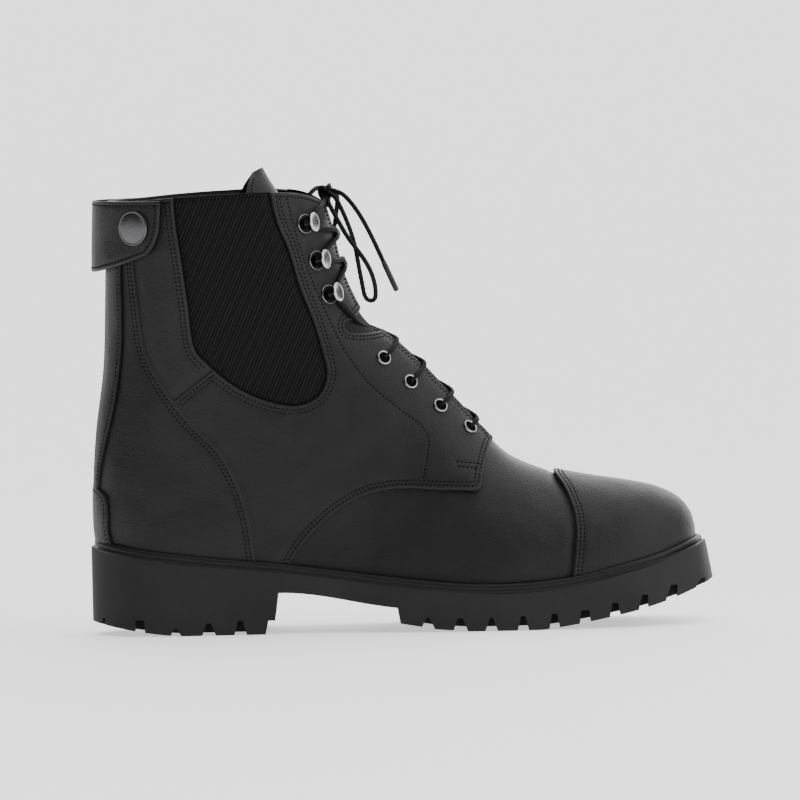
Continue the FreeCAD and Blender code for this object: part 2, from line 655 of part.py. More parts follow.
def turned(label, profile, placement):
    """A PartDesign body turned about its own z axis from an (r, z) profile."""
    body = new_body(label, placement)
    sketch = new_sketch(body, label + "_profile", "XZ_Plane")
    draw_polygon(sketch, profile)
    feature = body.newObject("PartDesign::Revolution", label + "_turn")
    feature.Profile = sketch
    feature.ReferenceAxis = (sketch, ["V_Axis"])
    feature.Angle = 360
    return body


def build_shank():
    body = new_body("shank")
    sketch = new_sketch(body, "shank_profile", "XZ_Plane")
    low = shank_line(0.4 + gap)
    high = shank_line(0.4 + gap + dim("shank_thick"))
    draw_polygon(sketch, low + high[::-1])
    pad(body, sketch, "shank_strip", "dimensions.shank_width", True)


# ---------------------------------------------------------------- tongue
# Outer middle line of the tongue (x, z), half-width and how far its edges curl back.
TONGUE_ROWS = [
    ((28.0, 101.0), 21.0, 13.0),
    ((18.0, 113.5), 23.0, 15.0),
    ((5.0, 126.0), 24.0, 16.0),
    ((-7.0, 135.5), 25.0, 16.5),
    ((-20.0, 148.0), 26.0, 16.5),
    ((-32.0, 168.0), 27.0, 17.0),
    ((-42.0, 189.0), 28.0, 18.0),
    ((-53.0, 209.0), 27.5, 18.5),
    ((-58.5, 218.0), 20.0, 11.0),
    ((-61.5, 223.6), 9.0, 2.6),
]
TONGUE_THICK = 2.6


def build_tongue():
    wires = []
    rows = TONGUE_ROWS
    for k, ((x, z), half, curl) in enumerate(rows):
        (x_a, z_a) = rows[max(k - 1, 0)][0]
        (x_b, z_b) = rows[min(k + 1, len(rows) - 1)][0]
        along = Vector(x_b - x_a, 0, z_b - z_a).normalize()
        inward = Vector(-along.z, 0, along.x)
        if inward.x > 0:
            inward = inward * -1
        middle = Vector(x, 0, z)
        outer = [middle + Vector(0, half * f, 0) + inward * (curl * f * f) for f in (-1, -0.5, 0, 0.5, 1)]
        inner = [p + inward * TONGUE_THICK for p in outer]
        front = Part.BSplineCurve()
        front.interpolate(outer)
        rear = Part.BSplineCurve()
        rear.interpolate(inner[::-1])
        wires.append(Part.Wire([
            front.toShape(), Part.makeLine(outer[-1], inner[-1]),
            rear.toShape(), Part.makeLine(inner[0], outer[0])]))
    keep("tongue", Part.makeLoft(wires, True, False))


# ---------------------------------------------------------------- eyelets and hooks
def turned_solid(profile):
    points = [Vector(r, 0, z) for r, z in profile]
    face = Part.Face(Part.makePolygon(points + [points[0]]))
    return face.revolve(Vector(0, 0, 0), Vector(0, 0, 1), 360)


def build_eyelets_and_hooks():
    bore = dim("eyelet_bore_radius")
    barrel = dim("eyelet_barrel_radius")
    flange = dim("eyelet_flange_radius")
    top = leather + 2 * gap
    bottom = -dim("stiffener_thick") - 3 * gap
    eyelet_profile = [
        (bore, bottom - 0.5), (flange - 0.4, bottom - 0.5), (flange - 0.4, bottom), (barrel, bottom),
        (barrel, top), (flange, top), (flange, top + 0.35), (flange - 0.6, top + 0.9),
        (bore + 0.5, top + 0.9), (bore, top + 0.4)]
    stem = dim("hook_stem_radius")
    base = dim("hook_base_radius")
    head = dim("hook_head_radius")
    rise = top + dim("hook_rise")
    hook_profile = [
        (0, top), (base, top), (base, top + 0.5), (base - 0.7, top + 0.9), (stem, top + 0.9),
        (stem, rise - 1.4), (head - 0.5, rise - 1.1), (head, rise - 0.7), (head - 0.6, rise - 0.2), (0, rise)]
    for name, side in SIDES.items():
        for label, places, profile in (("eyelets", EYELET_PLACES, eyelet_profile),
                                       ("hooks", HOOK_PLACES, hook_profile)):
            solids = []
            for x, z in places:
                solid = turned_solid(profile)
                solid.Placement = surface_frame(x, z, side, 0.0)[0]
                solids.append(solid)
            keep(f"{label}_{name}", Part.makeCompound(solids))


# ---------------------------------------------------------------- rear tab and snap
TAB_ROOT_X = -108.0
TAB_BACK_RISE = 8.3
TAB_SIDE_RISE = 4.0
TAB_LATERAL_EDGE = [(-110.8, 209.2), (-110.8, 203.2), (-112.0, 193.5), (-116.6, 184.6), (-124.4, 180.9),
                    (-136.6, 176.3), (-160, 167.5)]


def tab_rise(extra):
    def rule(place, angle):
        back = max(-math.cos(angle), 0.0)
        shaft_share = min(max(5.0 - place, 0.0), 1.0)
        return (TAB_SIDE_RISE + (TAB_BACK_RISE - TAB_SIDE_RISE) * back ** 4 + extra) * shaft_share
    return rule


TAB_MEDIAL_BOTTOM = [(-160, 167.5), (-136.6, 176.3), (-124.4, 178.0), (-100, 178.5)]


def build_tab_and_snap():
    collar_box = Part.makeBox(100, 200, 60, Vector(-170, -100, 160))
    band = skin(tab_rise(leather)).common(collar_box).cut(skin(tab_rise(0.0)).common(collar_box))
    lateral_zone = region(TAB_LATERAL_EDGE, [(-160, 209.2)], -FAR, 0.0)
    medial_edge = [(TAB_ROOT_X, 174.0), (-160, 174.0), (-160, 209.2), (TAB_ROOT_X, 209.2)]
    points = [Vector(x, 0, z) for x, z in medial_edge]
    medial_zone = Part.Face(Part.makePolygon(points + [points[0]])).extrude(Vector(0, FAR, 0))
    slope = region(TAB_MEDIAL_BOTTOM, [(-100, 150), (-160, 150)])
    tab = band.common(lateral_zone.fuse(medial_zone)).cut(slope)

    snap_frame = surface_frame(*SNAP_PLACE, -1.0, 0.0)[0]
    place, angle = surface_address(*SNAP_PLACE, -1.0)
    tab_inner = tab_rise(0.0)(place, angle)
    tab_outer = tab_inner + leather
    post_hole = Part.makeCylinder(dim("snap_post_radius") + gap, 10, Vector(0, 0, tab_inner - 4))
    post_hole.Placement = snap_frame
    flat_top = Part.makeCylinder(dim("snap_cap_radius") + 0.4, 8, Vector(0, 0, tab_outer - 0.35))
    flat_top.Placement = snap_frame
    flat_under = Part.makeCylinder(dim("socket_radius") + 0.4, 8, Vector(0, 0, tab_inner + 0.25 - 8))
    flat_under.Placement = snap_frame
    keep("rear_tab", largest(tab.cut(post_hole).cut(flat_top).cut(flat_under)))

    root_zone = Part.makeBox(12.0, FAR, 35.2, Vector(TAB_ROOT_X + 1.2, 0, 174.0))
    root = layer(leather + gap + leather + 0.2, leather + gap + 0.2).common(root_zone)
    keep("tab_root", largest(root))

    cap_low = tab_outer - 0.3
    cap = dim("snap_cap_radius")
    thick = dim("snap_cap_thick")
    post = dim("snap_post_radius")
    post_low = tab_inner + 0.15 - dim("socket_roof")
    turned("snap_cap", [(0, post_low), (post, post_low), (post, cap_low), (cap - 0.3, cap_low),
                        (cap, cap_low + 0.5),
                        (cap - 0.4, cap_low + 1.0), (cap - 2.0, cap_low + thick - 0.2), (0, cap_low + thick)],
           snap_frame)
    roof = tab_inner + 0.15
    socket = dim("socket_radius")
    cavity = dim("socket_cavity_radius")
    low = roof - dim("socket_thick")
    turned("snap_socket", [(post + 0.05, roof - dim("socket_roof")), (cavity, roof - dim("socket_roof")),
                           (cavity, low), (socket, low), (socket, roof), (post + 0.05, roof)], snap_frame)
    stud_low = leather + 2 * gap
    base = dim("stud_base_radius")
    stud = dim("stud_radius")
    flange_top = stud_low + dim("stud_base_thick")
    stud_top = stud_low + dim("stud_rise")
    turned("snap_stud", [(0, stud_low), (base, stud_low), (base, flange_top), (stud - 0.4, flange_top),
                         (stud, stud_top - 0.7), (stud - 0.5, stud_top), (0, stud_top)], snap_frame)


# ---------------------------------------------------------------- rear zip
ZIP_TOP = Vector(-134.3, 0, 206.0)
ZIP_STRAIGHT_END = Vector(-138.9, 0, 110.0)
ZIP_LOW_POINTS = [(-140.6, 98.0), (-142.4, 84.0)]
ZIP_BOTTOM_Z = 81.0
SLIDER_TOP_DROP = 4.0


def zip_frame(distance):
    """A placement on the straight part of the zip: z runs up the zip, x points forward."""
    along = (ZIP_STRAIGHT_END - ZIP_TOP).normalize()
    rotation = FreeCAD.Rotation(Vector(0, 0, -1), along)
    return FreeCAD.Placement(ZIP_TOP + along * distance, rotation)


def zip_centres():
    """Frames of the tooth places, down the straight part and on along the lower bend."""
    straight = (ZIP_STRAIGHT_END - ZIP_TOP).Length
    pitch = dim("tooth_pitch")
    frames = []
    distance = pitch
    while distance < straight:
        frames.append(zip_frame(distance))
        distance += pitch
    start = ZIP_STRAIGHT_END
    carry = distance - straight
    for x, z in ZIP_LOW_POINTS:
        end = Vector(x, 0, z)
        run = end - start
        along = Vector(run).normalize()
        while carry < run.Length:
            frames.append(FreeCAD.Placement(start + along * carry, FreeCAD.Rotation(Vector(0, 0, -1), along)))
            carry += pitch
        carry -= run.Length
        start = end
    return frames


def build_zip():
    width = dim("tooth_width")
    height = dim("tooth_height")
    depth = dim("tooth_depth")
    slot = dim("zip_slot_half")
    frames = zip_centres()
    for name, side in SIDES.items():
        teeth = []
        for index, frame in enumerate(frames):
            low_y = slot if side > 0 else -slot - width
            shift = 0.0 if side > 0 else dim("tooth_pitch") / 2
            tooth = Part.makeBox(depth, width, height, Vector(-depth / 2, low_y, -height / 2 - shift))
            tooth.Placement = frame
            teeth.append(tooth)
        keep(f"zip_teeth_{name}", Part.makeCompound(teeth))
        inner_y = slot + width + gap
        low_y = inner_y if side > 0 else -inner_y - dim("tape_width")
        band = Part.makeBox(60, dim("tape_width"), 126, Vector(-170, low_y, ZIP_BOTTOM_Z))
        tape = stay_layer.common(band)
        stiffener_zone = region(HEEL_STIFFENER_EDGE, [(-170, 10), (-170, 96)])
        keep(f"zip_tape_{name}", largest(tape.cut(stiffener_zone)))

    top_stops = []
    for side in SIDES.values():
        low_y = slot + 0.1 if side > 0 else -slot - 0.1 - width
        stop = Part.makeBox(depth, width, 1.6, Vector(-depth / 2, low_y, -1.0))
        stop.Placement = zip_frame(0.0)
        top_stops.append(stop)
    keep("zip_top_stops", Part.makeCompound(top_stops))

    last = frames[-1]
    stop = document.addObject("Part::Box", "zip_bottom_stop")
    stop.Label = "zip_bottom_stop"
    stop.setExpression("Length", "dimensions.tooth_depth")
    stop.setExpression("Width", "2 * (dimensions.tooth_width + dimensions.zip_slot_half)")
    stop.setExpression("Height", "dimensions.tooth_pitch")
    corner = Vector(-depth / 2, -width - slot, -dim("tooth_pitch") - height - 1.6)
    stop.Placement = last.multiply(FreeCAD.Placement(corner, FreeCAD.Rotation()))
    parts.append(stop)

    flap_band = Part.makeBox(60, 30, 128, Vector(-170, -15, 80))
    flap_depth = -SHAFT_LINING_DEPTH - dim("lining_thick") - 1.6
    keep("zip_flap", largest(layer(flap_depth, flap_depth - 1.2).common(flap_band)))


def slider_frame():
    return zip_frame(SLIDER_TOP_DROP + dim("slider_length") / 2)


def build_slider_and_pull():
    """The slider's plates, post and ears; the pull hangs from a pin between the ears."""
    frame = slider_frame()
    half_depth = dim("tooth_depth") / 2 + dim("slider_play")
    plate = dim("slider_plate")
    half_length = dim("slider_length") / 2
    body = new_body("zip_slider", frame)
    plan = new_sketch(body, "slider_plan", "XZ_Plane")
    draw_polygon(plan, [
        (-half_depth - plate, -half_length), (-half_depth, -half_length), (-half_depth, half_length),
        (-half_depth - plate, half_length)])
    pad(body, plan, "outer_plate", "dimensions.slider_width", True)
    inner = new_sketch(body, "inner_plan", "XZ_Plane")
    draw_polygon(inner, [
        (half_depth, -half_length), (half_depth + plate, -half_length), (half_depth + plate, half_length),
        (half_depth, half_length)])
    post = new_sketch(body, "post_plan", "XZ_Plane")
    draw_polygon(post, [
        (-half_depth - 0.2, 0.0), (half_depth + 0.2, 0.0), (half_depth + 0.2, half_length - 0.6),
        (-half_depth - 0.2, half_length - 0.6)])
    pad(body, post, "post", "2 * dimensions.zip_slot_half - 0.4", True)
    pad(body, inner, "inner_plate", "dimensions.slider_width", True)
    ears = new_sketch(body, "ear_plan", "XZ_Plane")
    ear = dim("ear_height")
    outer_face = -half_depth - plate
    draw_polygon(ears, [
        (outer_face + 0.1, 0.4), (outer_face - ear, 0.9), (outer_face - ear, 3.4), (outer_face + 0.1, 4.2)])
    pad(body, ears, "bracket", "dimensions.pull_width + 2.4", True)
    room = new_sketch(body, "room_plan", "XZ_Plane")
    draw_polygon(room, [
        (outer_face - 0.02, 0.0), (outer_face - ear - 1, 0.0), (outer_face - ear - 1, 5),
        (outer_face - 0.02, 5)])
    cut = body.newObject("PartDesign::Pocket", "pull_room")
    cut.Profile = room
    cut.Midplane = True
    cut.setExpression("Length", "dimensions.pull_width + 0.4")
    pin = new_sketch(body, "pin_plan", "XZ_Plane")
    pin_x = outer_face - ear / 2
    pin.addGeometry(Part.Circle(Vector(pin_x, 2.1, 0), Vector(0, 0, 1), dim("pin_radius")), False)
    radius = pin.addConstraint(Sketcher.Constraint("Radius", 0, dim("pin_radius")))
    pin.setExpression(f"Constraints[{radius}]", "dimensions.pin_radius")
    pad(body, pin, "pull_pin", "dimensions.pull_width + 2.0", True)

    pull = new_body("zip_pull", frame.multiply(FreeCAD.Placement(Vector(pin_x, 0, 2.1), FreeCAD.Rotation())))
    plan = new_sketch(pull, "pull_plan", "XZ_Plane")
    half = dim("pull_thick") / 2
    eye = dim("pin_radius") + 0.45
    chamfer = 0.41 * eye
    length = dim("pull_length")
    draw_polygon(plan, [
        (-eye, -chamfer), (-half, -eye - 0.8), (-half, -length), (half, -length), (half, -eye - 0.8),
        (eye, -chamfer), (eye, chamfer), (chamfer, eye), (-chamfer, eye), (-eye, chamfer)])
    pad(pull, plan, "pull_plate", "dimensions.pull_width", True)
    hole = new_sketch(pull, "pin_hole", "XZ_Plane")
    hole.addGeometry(Part.Circle(Vector(0, 0, 0), Vector(0, 0, 1), dim("pin_radius") + 0.1), False)
    radius = hole.addConstraint(Sketcher.Constraint("Radius", 0, dim("pin_radius") + 0.1))
    hole.setExpression(f"Constraints[{radius}]", "dimensions.pin_radius + 0.1")
    bore = pull.newObject("PartDesign::Pocket", "pin_bore")
    bore.Profile = hole
    bore.Midplane = True
    bore.setExpression("Length", "dimensions.pull_width + 2")


# ---------------------------------------------------------------- laces
def rounded_path(points, tightest=None):
    """Straight runs joined by tangent arcs that are as large as the runs allow."""
    edges = []
    radii = []
    last = points[0]
    for before, corner, after in zip(points, points[1:], points[2:]):
        arriving = corner - before
        leaving = after - corner
        turn = arriving.getAngle(leaving)
        if turn < 0.01:
            continue
        reach = 0.45 * min(arriving.Length, leaving.Length)
        radius = reach / math.tan(turn / 2)
        radii.append(radius)
        u = Vector(arriving).normalize()
        v = Vector(leaving).normalize()
        start = corner - u * reach
        end = corner + v * reach
        to_centre = (v - u).normalize()
        middle = corner + to_centre * (math.hypot(reach, radius) - radius)
        edges.append(Part.makeLine(last, start))
        edges.append(Part.Arc(start, middle, end).toShape())
        last = end
    edges.append(Part.makeLine(last, points[-1]))
    return Part.Wire(edges), radii


def tube(name, route, diameter):
    """A round tube along a rounded route; its volume is compared with area times length."""
    points = [Vector(*p) for p in route]
    path, radii = rounded_path(points)
    start = points[0]
    direction = (points[1] - points[0]).normalize()
    circle = Part.Wire([Part.makeCircle(diameter / 2, start, direction)])
    solid = path.makePipeShell([circle], True, True)
    expected = math.pi * diameter ** 2 / 4 * path.Length
    print(f"{name}: length {path.Length:.1f}, tightest radius {min(radii):.1f}, "
          f"volume ratio {solid.Volume / expected:.3f}")
    return solid


# Routes of the bow, by hand: each starts at the knot.
LOOP_LATERAL = [(-29.5, -2.5, 210.5), (-26.8, -6.0, 209.6), (-22.9, -10.0, 201.5), (-19.4, -13.8, 192.6),
                (-17.2, -16.2, 184.4), (-15.9, -17.8, 175.6), (-14.4, -18.9, 167.0), (-13.0, -19.6, 158.9),
                (-8.0, -20.6, 158.5), (-7.9, -20.9, 165.6), (-10.0, -21.2, 173.0), (-13.4, -21.0, 179.2),
                (-17.6, -19.6, 184.9), (-21.6, -16.6, 190.4), (-25.4, -12.4, 197.4), (-29.2, -6.8, 204.6),
                (-31.0, -2.5, 208.5)]
END_LATERAL = [(-29.5, -1.0, 211.8), (-24.5, -4.0, 211.6), (-19.0, -7.5, 206.2), (-14.0, -10.0, 198.6),
               (-9.6, -12.0, 190.0), (-5.6, -13.2, 181.0), (-3.6, -13.8, 176.4)]
LOOP_MEDIAL = [(-30.5, 2.5, 210.5), (-29.0, 8.5, 214.5), (-29.8, 19.0, 213.0), (-32.4, 30.0, 206.0),
               (-34.6, 37.0, 196.0), (-37.2, 41.0, 184.5), (-39.4, 42.6, 173.5), (-41.0, 43.2, 164.6),
               (-46.2, 44.4, 164.9), (-47.2, 45.2, 174.0), (-47.0, 46.4, 186.0), (-45.4, 44.4, 197.5),
               (-40.8, 36.5, 207.5), (-35.4, 23.0, 213.0), (-32.6, 10.0, 212.0), (-31.5, 2.5, 209.0)]
END_MEDIAL = [(-29.0, 1.0, 211.8), (-26.2, 7.0, 211.8), (-25.4, 14.0, 207.4), (-26.2, 21.0, 199.8),
              (-27.8, 27.0, 191.0), (-29.4, 31.0, 182.4), (-30.0, 32.4, 178.0)]
KNOT_CENTRE = Vector(-31.2, 0.0, 209.6)


def aglet(label, route):
    """A straight tip that carries on from the end of a lace."""
    before = Vector(*route[-2])
    end = Vector(*route[-1])
    direction = (end - before).normalize()
    feature = document.addObject("Part::Cylinder", label)
    feature.Label = label
    feature.setExpression("Radius", "dimensions.aglet_diameter / 2")
    feature.setExpression("Height", "dimensions.aglet_length")
    feature.Placement = FreeCAD.Placement(end, FreeCAD.Rotation(Vector(0, 0, 1), direction))
    parts.append(feature)


def over_point(x, z, side, offset):
    return surface_frame(x, z, side, offset)[0].Base


def crossing(low_place, high_place, side, lift):
    """One lace run: out of an eyelet, over the facing edge, across and up into the next."""
    x_a, z_a = low_place
    x_b, z_b = high_place
    top = leather + gap
    start = over_point(x_a, z_a, side, top - 0.4)
    above = over_point(x_a, z_a, side, top + 3.0)
    edge_a = over_point(x_a + 6.6, z_a + 6.4, side, top + 1.9)
    edge_b = over_point(x_b + 5.6, z_b + 4.6, -side, -3.2)
    under = over_point(x_b, z_b, -side, -4.4)
    end = over_point(x_b, z_b, -side, -1.7)
    middle = (edge_a + edge_b) * 0.5 + Vector(0.7, 0, 0.7) * lift
    return [start, above, edge_a, middle, edge_b, under, end]


def build_laces():
    lace = dim("lace_diameter")
    runs = []
    for low, high in zip(EYELET_PLACES[::-1], EYELET_PLACES[-2::-1]):
        runs.append(crossing(low, high, -1.0, 2.2))
        runs.append(crossing(low, high, 1.0, -0.4))
    top = leather + gap
    for side, lift in ((-1.0, 1.8), (1.0, -0.6)):
        x, z = EYELET_PLACES[0]
        start = over_point(x, z, side, top - 0.4)
        above = over_point(x, z, side, top + 3.0)
        edge = over_point(x + 3.0, z + 6.6, side, top + 1.9)
        hook_x, hook_z = HOOK_PLACES[2]
        catch = over_point(hook_x + 3.4, hook_z - 1.0, -side, top + 2.1)
        middle = (edge + catch) * 0.5 + Vector(0.8, 0, 0.5) * lift
        runs.append([start, above, edge, middle, catch])
        for (x_a, z_a), (x_b, z_b) in ((HOOK_PLACES[2], HOOK_PLACES[1]), (HOOK_PLACES[1], HOOK_PLACES[0])):
            begin = over_point(x_a - 1.0, z_a + 3.0, -side, top + 2.1)
            front = over_point(x_a + 6.0, z_a + 4.5, -side, top + 3.6)
            finish = over_point(x_b + 3.4, z_b - 1.0, side, top + 2.1)
            middle = (front + finish) * 0.5 + Vector(1.5, 0, 0) * (lift + 1.0)
            runs.append([begin, front, middle, finish])
            side = -side
        x_a, z_a = HOOK_PLACES[0]
        begin = over_point(x_a - 1.0, z_a + 3.0, -side, top + 2.1)
        front = over_point(x_a + 5.0, z_a + 6.0, -side, top + 3.4)
        runs.append([begin, front, Vector(-31.5, -side * 4.0, 207.5)])
    solids = [tube(f"lace run {k}", [tuple(p) for p in run], lace) for k, run in enumerate(runs)]
    keep("lace", Part.makeCompound(solids))
    for label, route in (("lace_loop_lateral", LOOP_LATERAL), ("lace_loop_medial", LOOP_MEDIAL),
                         ("lace_end_lateral", END_LATERAL), ("lace_end_medial", END_MEDIAL)):
        keep(label, tube(label, route, lace))
    aglet("aglet_lateral", END_LATERAL)
    aglet("aglet_medial", END_MEDIAL)
    knot = document.addObject("Part::Ellipsoid", "lace_knot")
    knot.Label = "lace_knot"
    knot.setExpression("Radius1", "dimensions.knot_radius * 0.9")
    knot.setExpression("Radius2", "dimensions.knot_radius * 0.85")
    knot.setExpression("Radius3", "dimensions.knot_radius")
    knot.Placement = FreeCAD.Placement(KNOT_CENTRE, FreeCAD.Rotation())
    parts.append(knot)


# ---------------------------------------------------------------- build and write
def check_and_write():
    document.recompute()
    failed = [o.Label for o in document.Objects if {"Invalid", "Error"} & set(o.State)]
    for part in parts:
        if part.Shape.isNull() or not part.Shape.isValid() or part.Shape.Volume <= 0:
            failed.append(part.Label)
    if failed:
        raise RuntimeError("failed: " + ", ".join(failed))
    os.makedirs("parts", exist_ok=True)
    for part in parts:
        part.Shape.exportStep(f"parts/{part.Label}.step")
    print(len(parts), "parts written")


build_upper_panels()
build_inner_layers()
build_outsole()
build_bottom_stack()
build_shank()
build_tongue()
build_eyelets_and_hooks()
build_tab_and_snap()
build_zip()
build_slider_and_pull()
build_laces()
check_and_write()
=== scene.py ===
import math
import bpy
import numpy as np
from mathutils import Matrix, Vector
from mathutils.geometry import delaunay_2d_cdt


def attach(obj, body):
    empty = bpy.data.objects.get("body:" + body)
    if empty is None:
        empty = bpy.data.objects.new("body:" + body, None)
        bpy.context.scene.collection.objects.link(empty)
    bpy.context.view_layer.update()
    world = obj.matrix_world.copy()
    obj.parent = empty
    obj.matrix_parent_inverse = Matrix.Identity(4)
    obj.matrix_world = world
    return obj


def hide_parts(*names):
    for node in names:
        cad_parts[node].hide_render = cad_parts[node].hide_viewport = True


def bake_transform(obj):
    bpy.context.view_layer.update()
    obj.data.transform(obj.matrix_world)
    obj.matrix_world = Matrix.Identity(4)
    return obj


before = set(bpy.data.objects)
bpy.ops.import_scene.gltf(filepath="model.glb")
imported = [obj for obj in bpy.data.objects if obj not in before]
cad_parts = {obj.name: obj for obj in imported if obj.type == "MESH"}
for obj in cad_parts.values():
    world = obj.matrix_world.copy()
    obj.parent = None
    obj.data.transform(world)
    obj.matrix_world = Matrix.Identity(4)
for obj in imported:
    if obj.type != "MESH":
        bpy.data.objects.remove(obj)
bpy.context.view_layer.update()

# A black leather lace-up ankle boot, right foot. Lengths here are in millimetres unless a
# name ends in _M, and MM turns them into the scene's metres.
MM = 0.001

# Heights of the leather faces above the lasted surface.
UPPER_FACE = 1.9
UPPER_BACK = 0.1
VAMP_FACE = 0.0
VAMP_BACK = -1.8
CAP_FACE = 1.75
STRIP_FACE = 3.5
STRIP_BACK = 2.0
GORE_FACE = 1.0
LINING_THICK = 1.1

# Seams and stitching.
EDGE_ROUND = 0.6
EDGE_RINGS = (0.2, 0.5, 1.1)
TUCK_DEPTH = 0.7
TUCK_REACH = 5.0
GROOVE_DEPTH = 0.2
GROOVE_HALF = 0.45
FIRST_ROW = 2.0
SECOND_ROW = 3.9
STITCH_PITCH = 2.0
STITCH_LENGTH = 1.25
THREAD_RADIUS = 0.3
THREAD_LIFT = 0.06
PANEL_PITCH = 3.0
STRIP_PITCH = 2.2
CAP_PITCH = 2.6
TAB_PITCH = 2.4
# Shares and gaps that keep a panel's inner rings, grid and stitch rows apart.
PLAIN_RING = 1.2
RING_CLEAR = 0.96
RING_GAP = 0.22
GRID_CLEAR = 0.55
ROW_CLEAR = 0.9
ROW_GAP = 1.2
# How far from a raised cut edge the leather's colour turns paler.
PALE_EDGE_REACH = 0.8
# Distances to seams are worked out this far; what lies further away counts as FAR.
SEAM_REACH = 9.0
FAR = 99.0
# Distances of single stitch rows from their edges.
STRIP_ROW = 1.5
ZIP_ROW = 1.6
PATCH_ROW = 2.0
TAB_ROW = 1.9
THROAT_ROWS = (1.8, 3.6)
BACKSTAY_ROW = 1.3

# Station numbers that bound the shaft's rear slit, the throat and the searches for seams.
HEEL_FOOT = 4.52
HEEL_END = 6.1
THROAT_FOOT = 11.2
COLLAR_LIMIT = 3.0
HEEL_LIMITS = (5.0, 7.0)
SOLE_LIMITS = (7.05, 18.86)

# ---------------------------------------------------------------- the lasted surface
# The same fan of sections as the CAD model's: front point (x, z), back or bottom point
# (x, z), lateral and medial half-widths, widest share, bluntness front and back, middle y.
STATIONS = np.array([
    (-37.0, 218.0, -133.4, 218.0, 41.5, 41.5, 0.52, 0.20, 0.20, 0.0),
    (-29.8, 197.0, -134.3, 196.0, 41.0, 41.0, 0.52, 0.20, 0.22, 0.0),
    (-23.2, 170.0, -135.2, 168.0, 38.5, 38.5, 0.53, 0.22, 0.25, 0.0),
    (-12.5, 149.5, -137.0, 129.0, 35.5, 35.5, 0.55, 0.28, 0.32, 0.0),
    (-1.0, 140.5, -141.5, 96.0, 34.0, 34.0, 0.57, 0.34, 0.38, 0.0),
    (8.5, 132.0, -143.6, 63.0, 34.0, 34.0, 0.58, 0.36, 0.42, 0.0),
    (15.5, 125.5, -142.2, 42.0, 34.5, 34.5, 0.58, 0.36, 0.42, 0.0),
    (20.5, 120.0, -136.0, 18.0, 35.0, 35.0, 0.57, 0.36, 0.42, 0.0),
    (25.5, 114.8, -112.0, -4.0, 34.5, 33.5, 0.56, 0.34, 0.36, 0.0),
    (32.0, 107.5, -70.0, -14.0, 35.5, 32.0, 0.57, 0.30, 0.25, 0.0),
    (40.5, 97.0, -24.0, -16.0, 40.0, 36.0, 0.60, 0.18, 0.20, 0.0),
    (53.0, 83.6, 18.0, -15.0, 45.5, 43.0, 0.61, 0.05, 0.15, 0.0),
    (70.0, 75.4, 52.0, -10.0, 47.0, 47.0, 0.60, 0.00, 0.15, 0.0),
    (90.0, 70.6, 82.0, -5.0, 45.0, 46.0, 0.58, 0.05, 0.15, 1.0),
    (110.0, 67.2, 107.0, 4.0, 40.0, 41.5, 0.57, 0.12, 0.15, 2.0),
    (124.0, 64.0, 124.0, 14.0, 33.5, 34.5, 0.57, 0.16, 0.15, 3.0),
    (134.0, 59.2, 134.0, 22.0, 25.0, 26.0, 0.56, 0.16, 0.15, 4.0),
    (139.6, 53.0, 139.6, 27.0, 16.0, 16.5, 0.54, 0.10, 0.10, 4.6),
    (142.0, 46.0, 142.0, 31.0, 5.0, 5.0, 0.50, 0.00, 0.00, 5.0),
])
LAST = len(STATIONS) - 1
TOE_CLOSE = np.array((142.8, 5.0, 34.6))
SLOPE_STEP = 0.03

SOLE_TOP_LINE = [(-170, 45.5), (-148, 42.3), (-122.8, 37.1), (-91.3, 32.9), (-59.8, 29.8), (-28.4, 25.6),
                 (9.3, 20.6), (37.9, 18.0), (64.6, 18.2), (85.5, 20.6), (106.4, 25.3), (127.9, 31.0),
                 (147.5, 38.3), (170, 46.0)]
COLLAR_LINE = [(-170, 209.3), (-124, 209.3), (-104.8, 210.6), (-82.5, 211.8), (-57.2, 212.4), (-40.8, 210.5),
               (-30.7, 205.5), (0, 180)]
COUNTER_EDGE = [(-124.2, 240), (-124.2, 180.7), (-122.4, 160.3), (-119.5, 137.9), (-112.6, 122.7),
                (-99.4, 103.8), (-84.8, 88.5), (-75.3, 69.8), (-70.1, 48.5), (-67.0, 10)]
BACKSTAY_EDGE = [(-130.2, 240), (-131.1, 177.4), (-131.7, 138.2), (-135.5, 112.5), (-139.4, 96.8),
                 (-142.9, 82.6), (-146, 60)]
HEEL_PATCH_EDGE = [(-165, 74.5), (-147.8, 72.1), (-144.3, 70.5), (-140.8, 67.1), (-139.9, 59.3),
                   (-139.8, 50.0), (-134, 30)]
GORE_EDGE = [(-105.6, 240), (-103.7, 200.6), (-100.8, 178.2), (-98.5, 159.7), (-95.6, 137.4),
             (-91.1, 131.7), (-77.1, 119.6), (-61.0, 111.8), (-45.9, 109.6), (-36.2, 114.2),
             (-32.0, 124.3), (-33.9, 135.7), (-38.0, 150.6), (-44.0, 166.4), (-49.1, 185.1),
             (-54.4, 198.8), (-62, 240)]
REAR_QUARTER_SEAM = [(-126, 98.5), (-106.4, 113.1), (-91.2, 124.4), (-80, 133)]
QUARTER_EDGE = [(-58, 15), (-51.0, 34.5), (-42.5, 46.4), (-27.7, 59.2), (-12.9, 66.6), (1.7, 68.7),
                (21.0, 67.8), (33.0, 67.2), (38.2, 67.0), (40.2, 67.9), (41.0, 70.0), (42.2, 76.0),
                (45.0, 85.7), (47.2, 91.5), (47.6, 96.0), (45.5, 100.0), (40, 104)]
QUARTER_TIP = 8
FACING_CORNER = (46.6, 92.0)
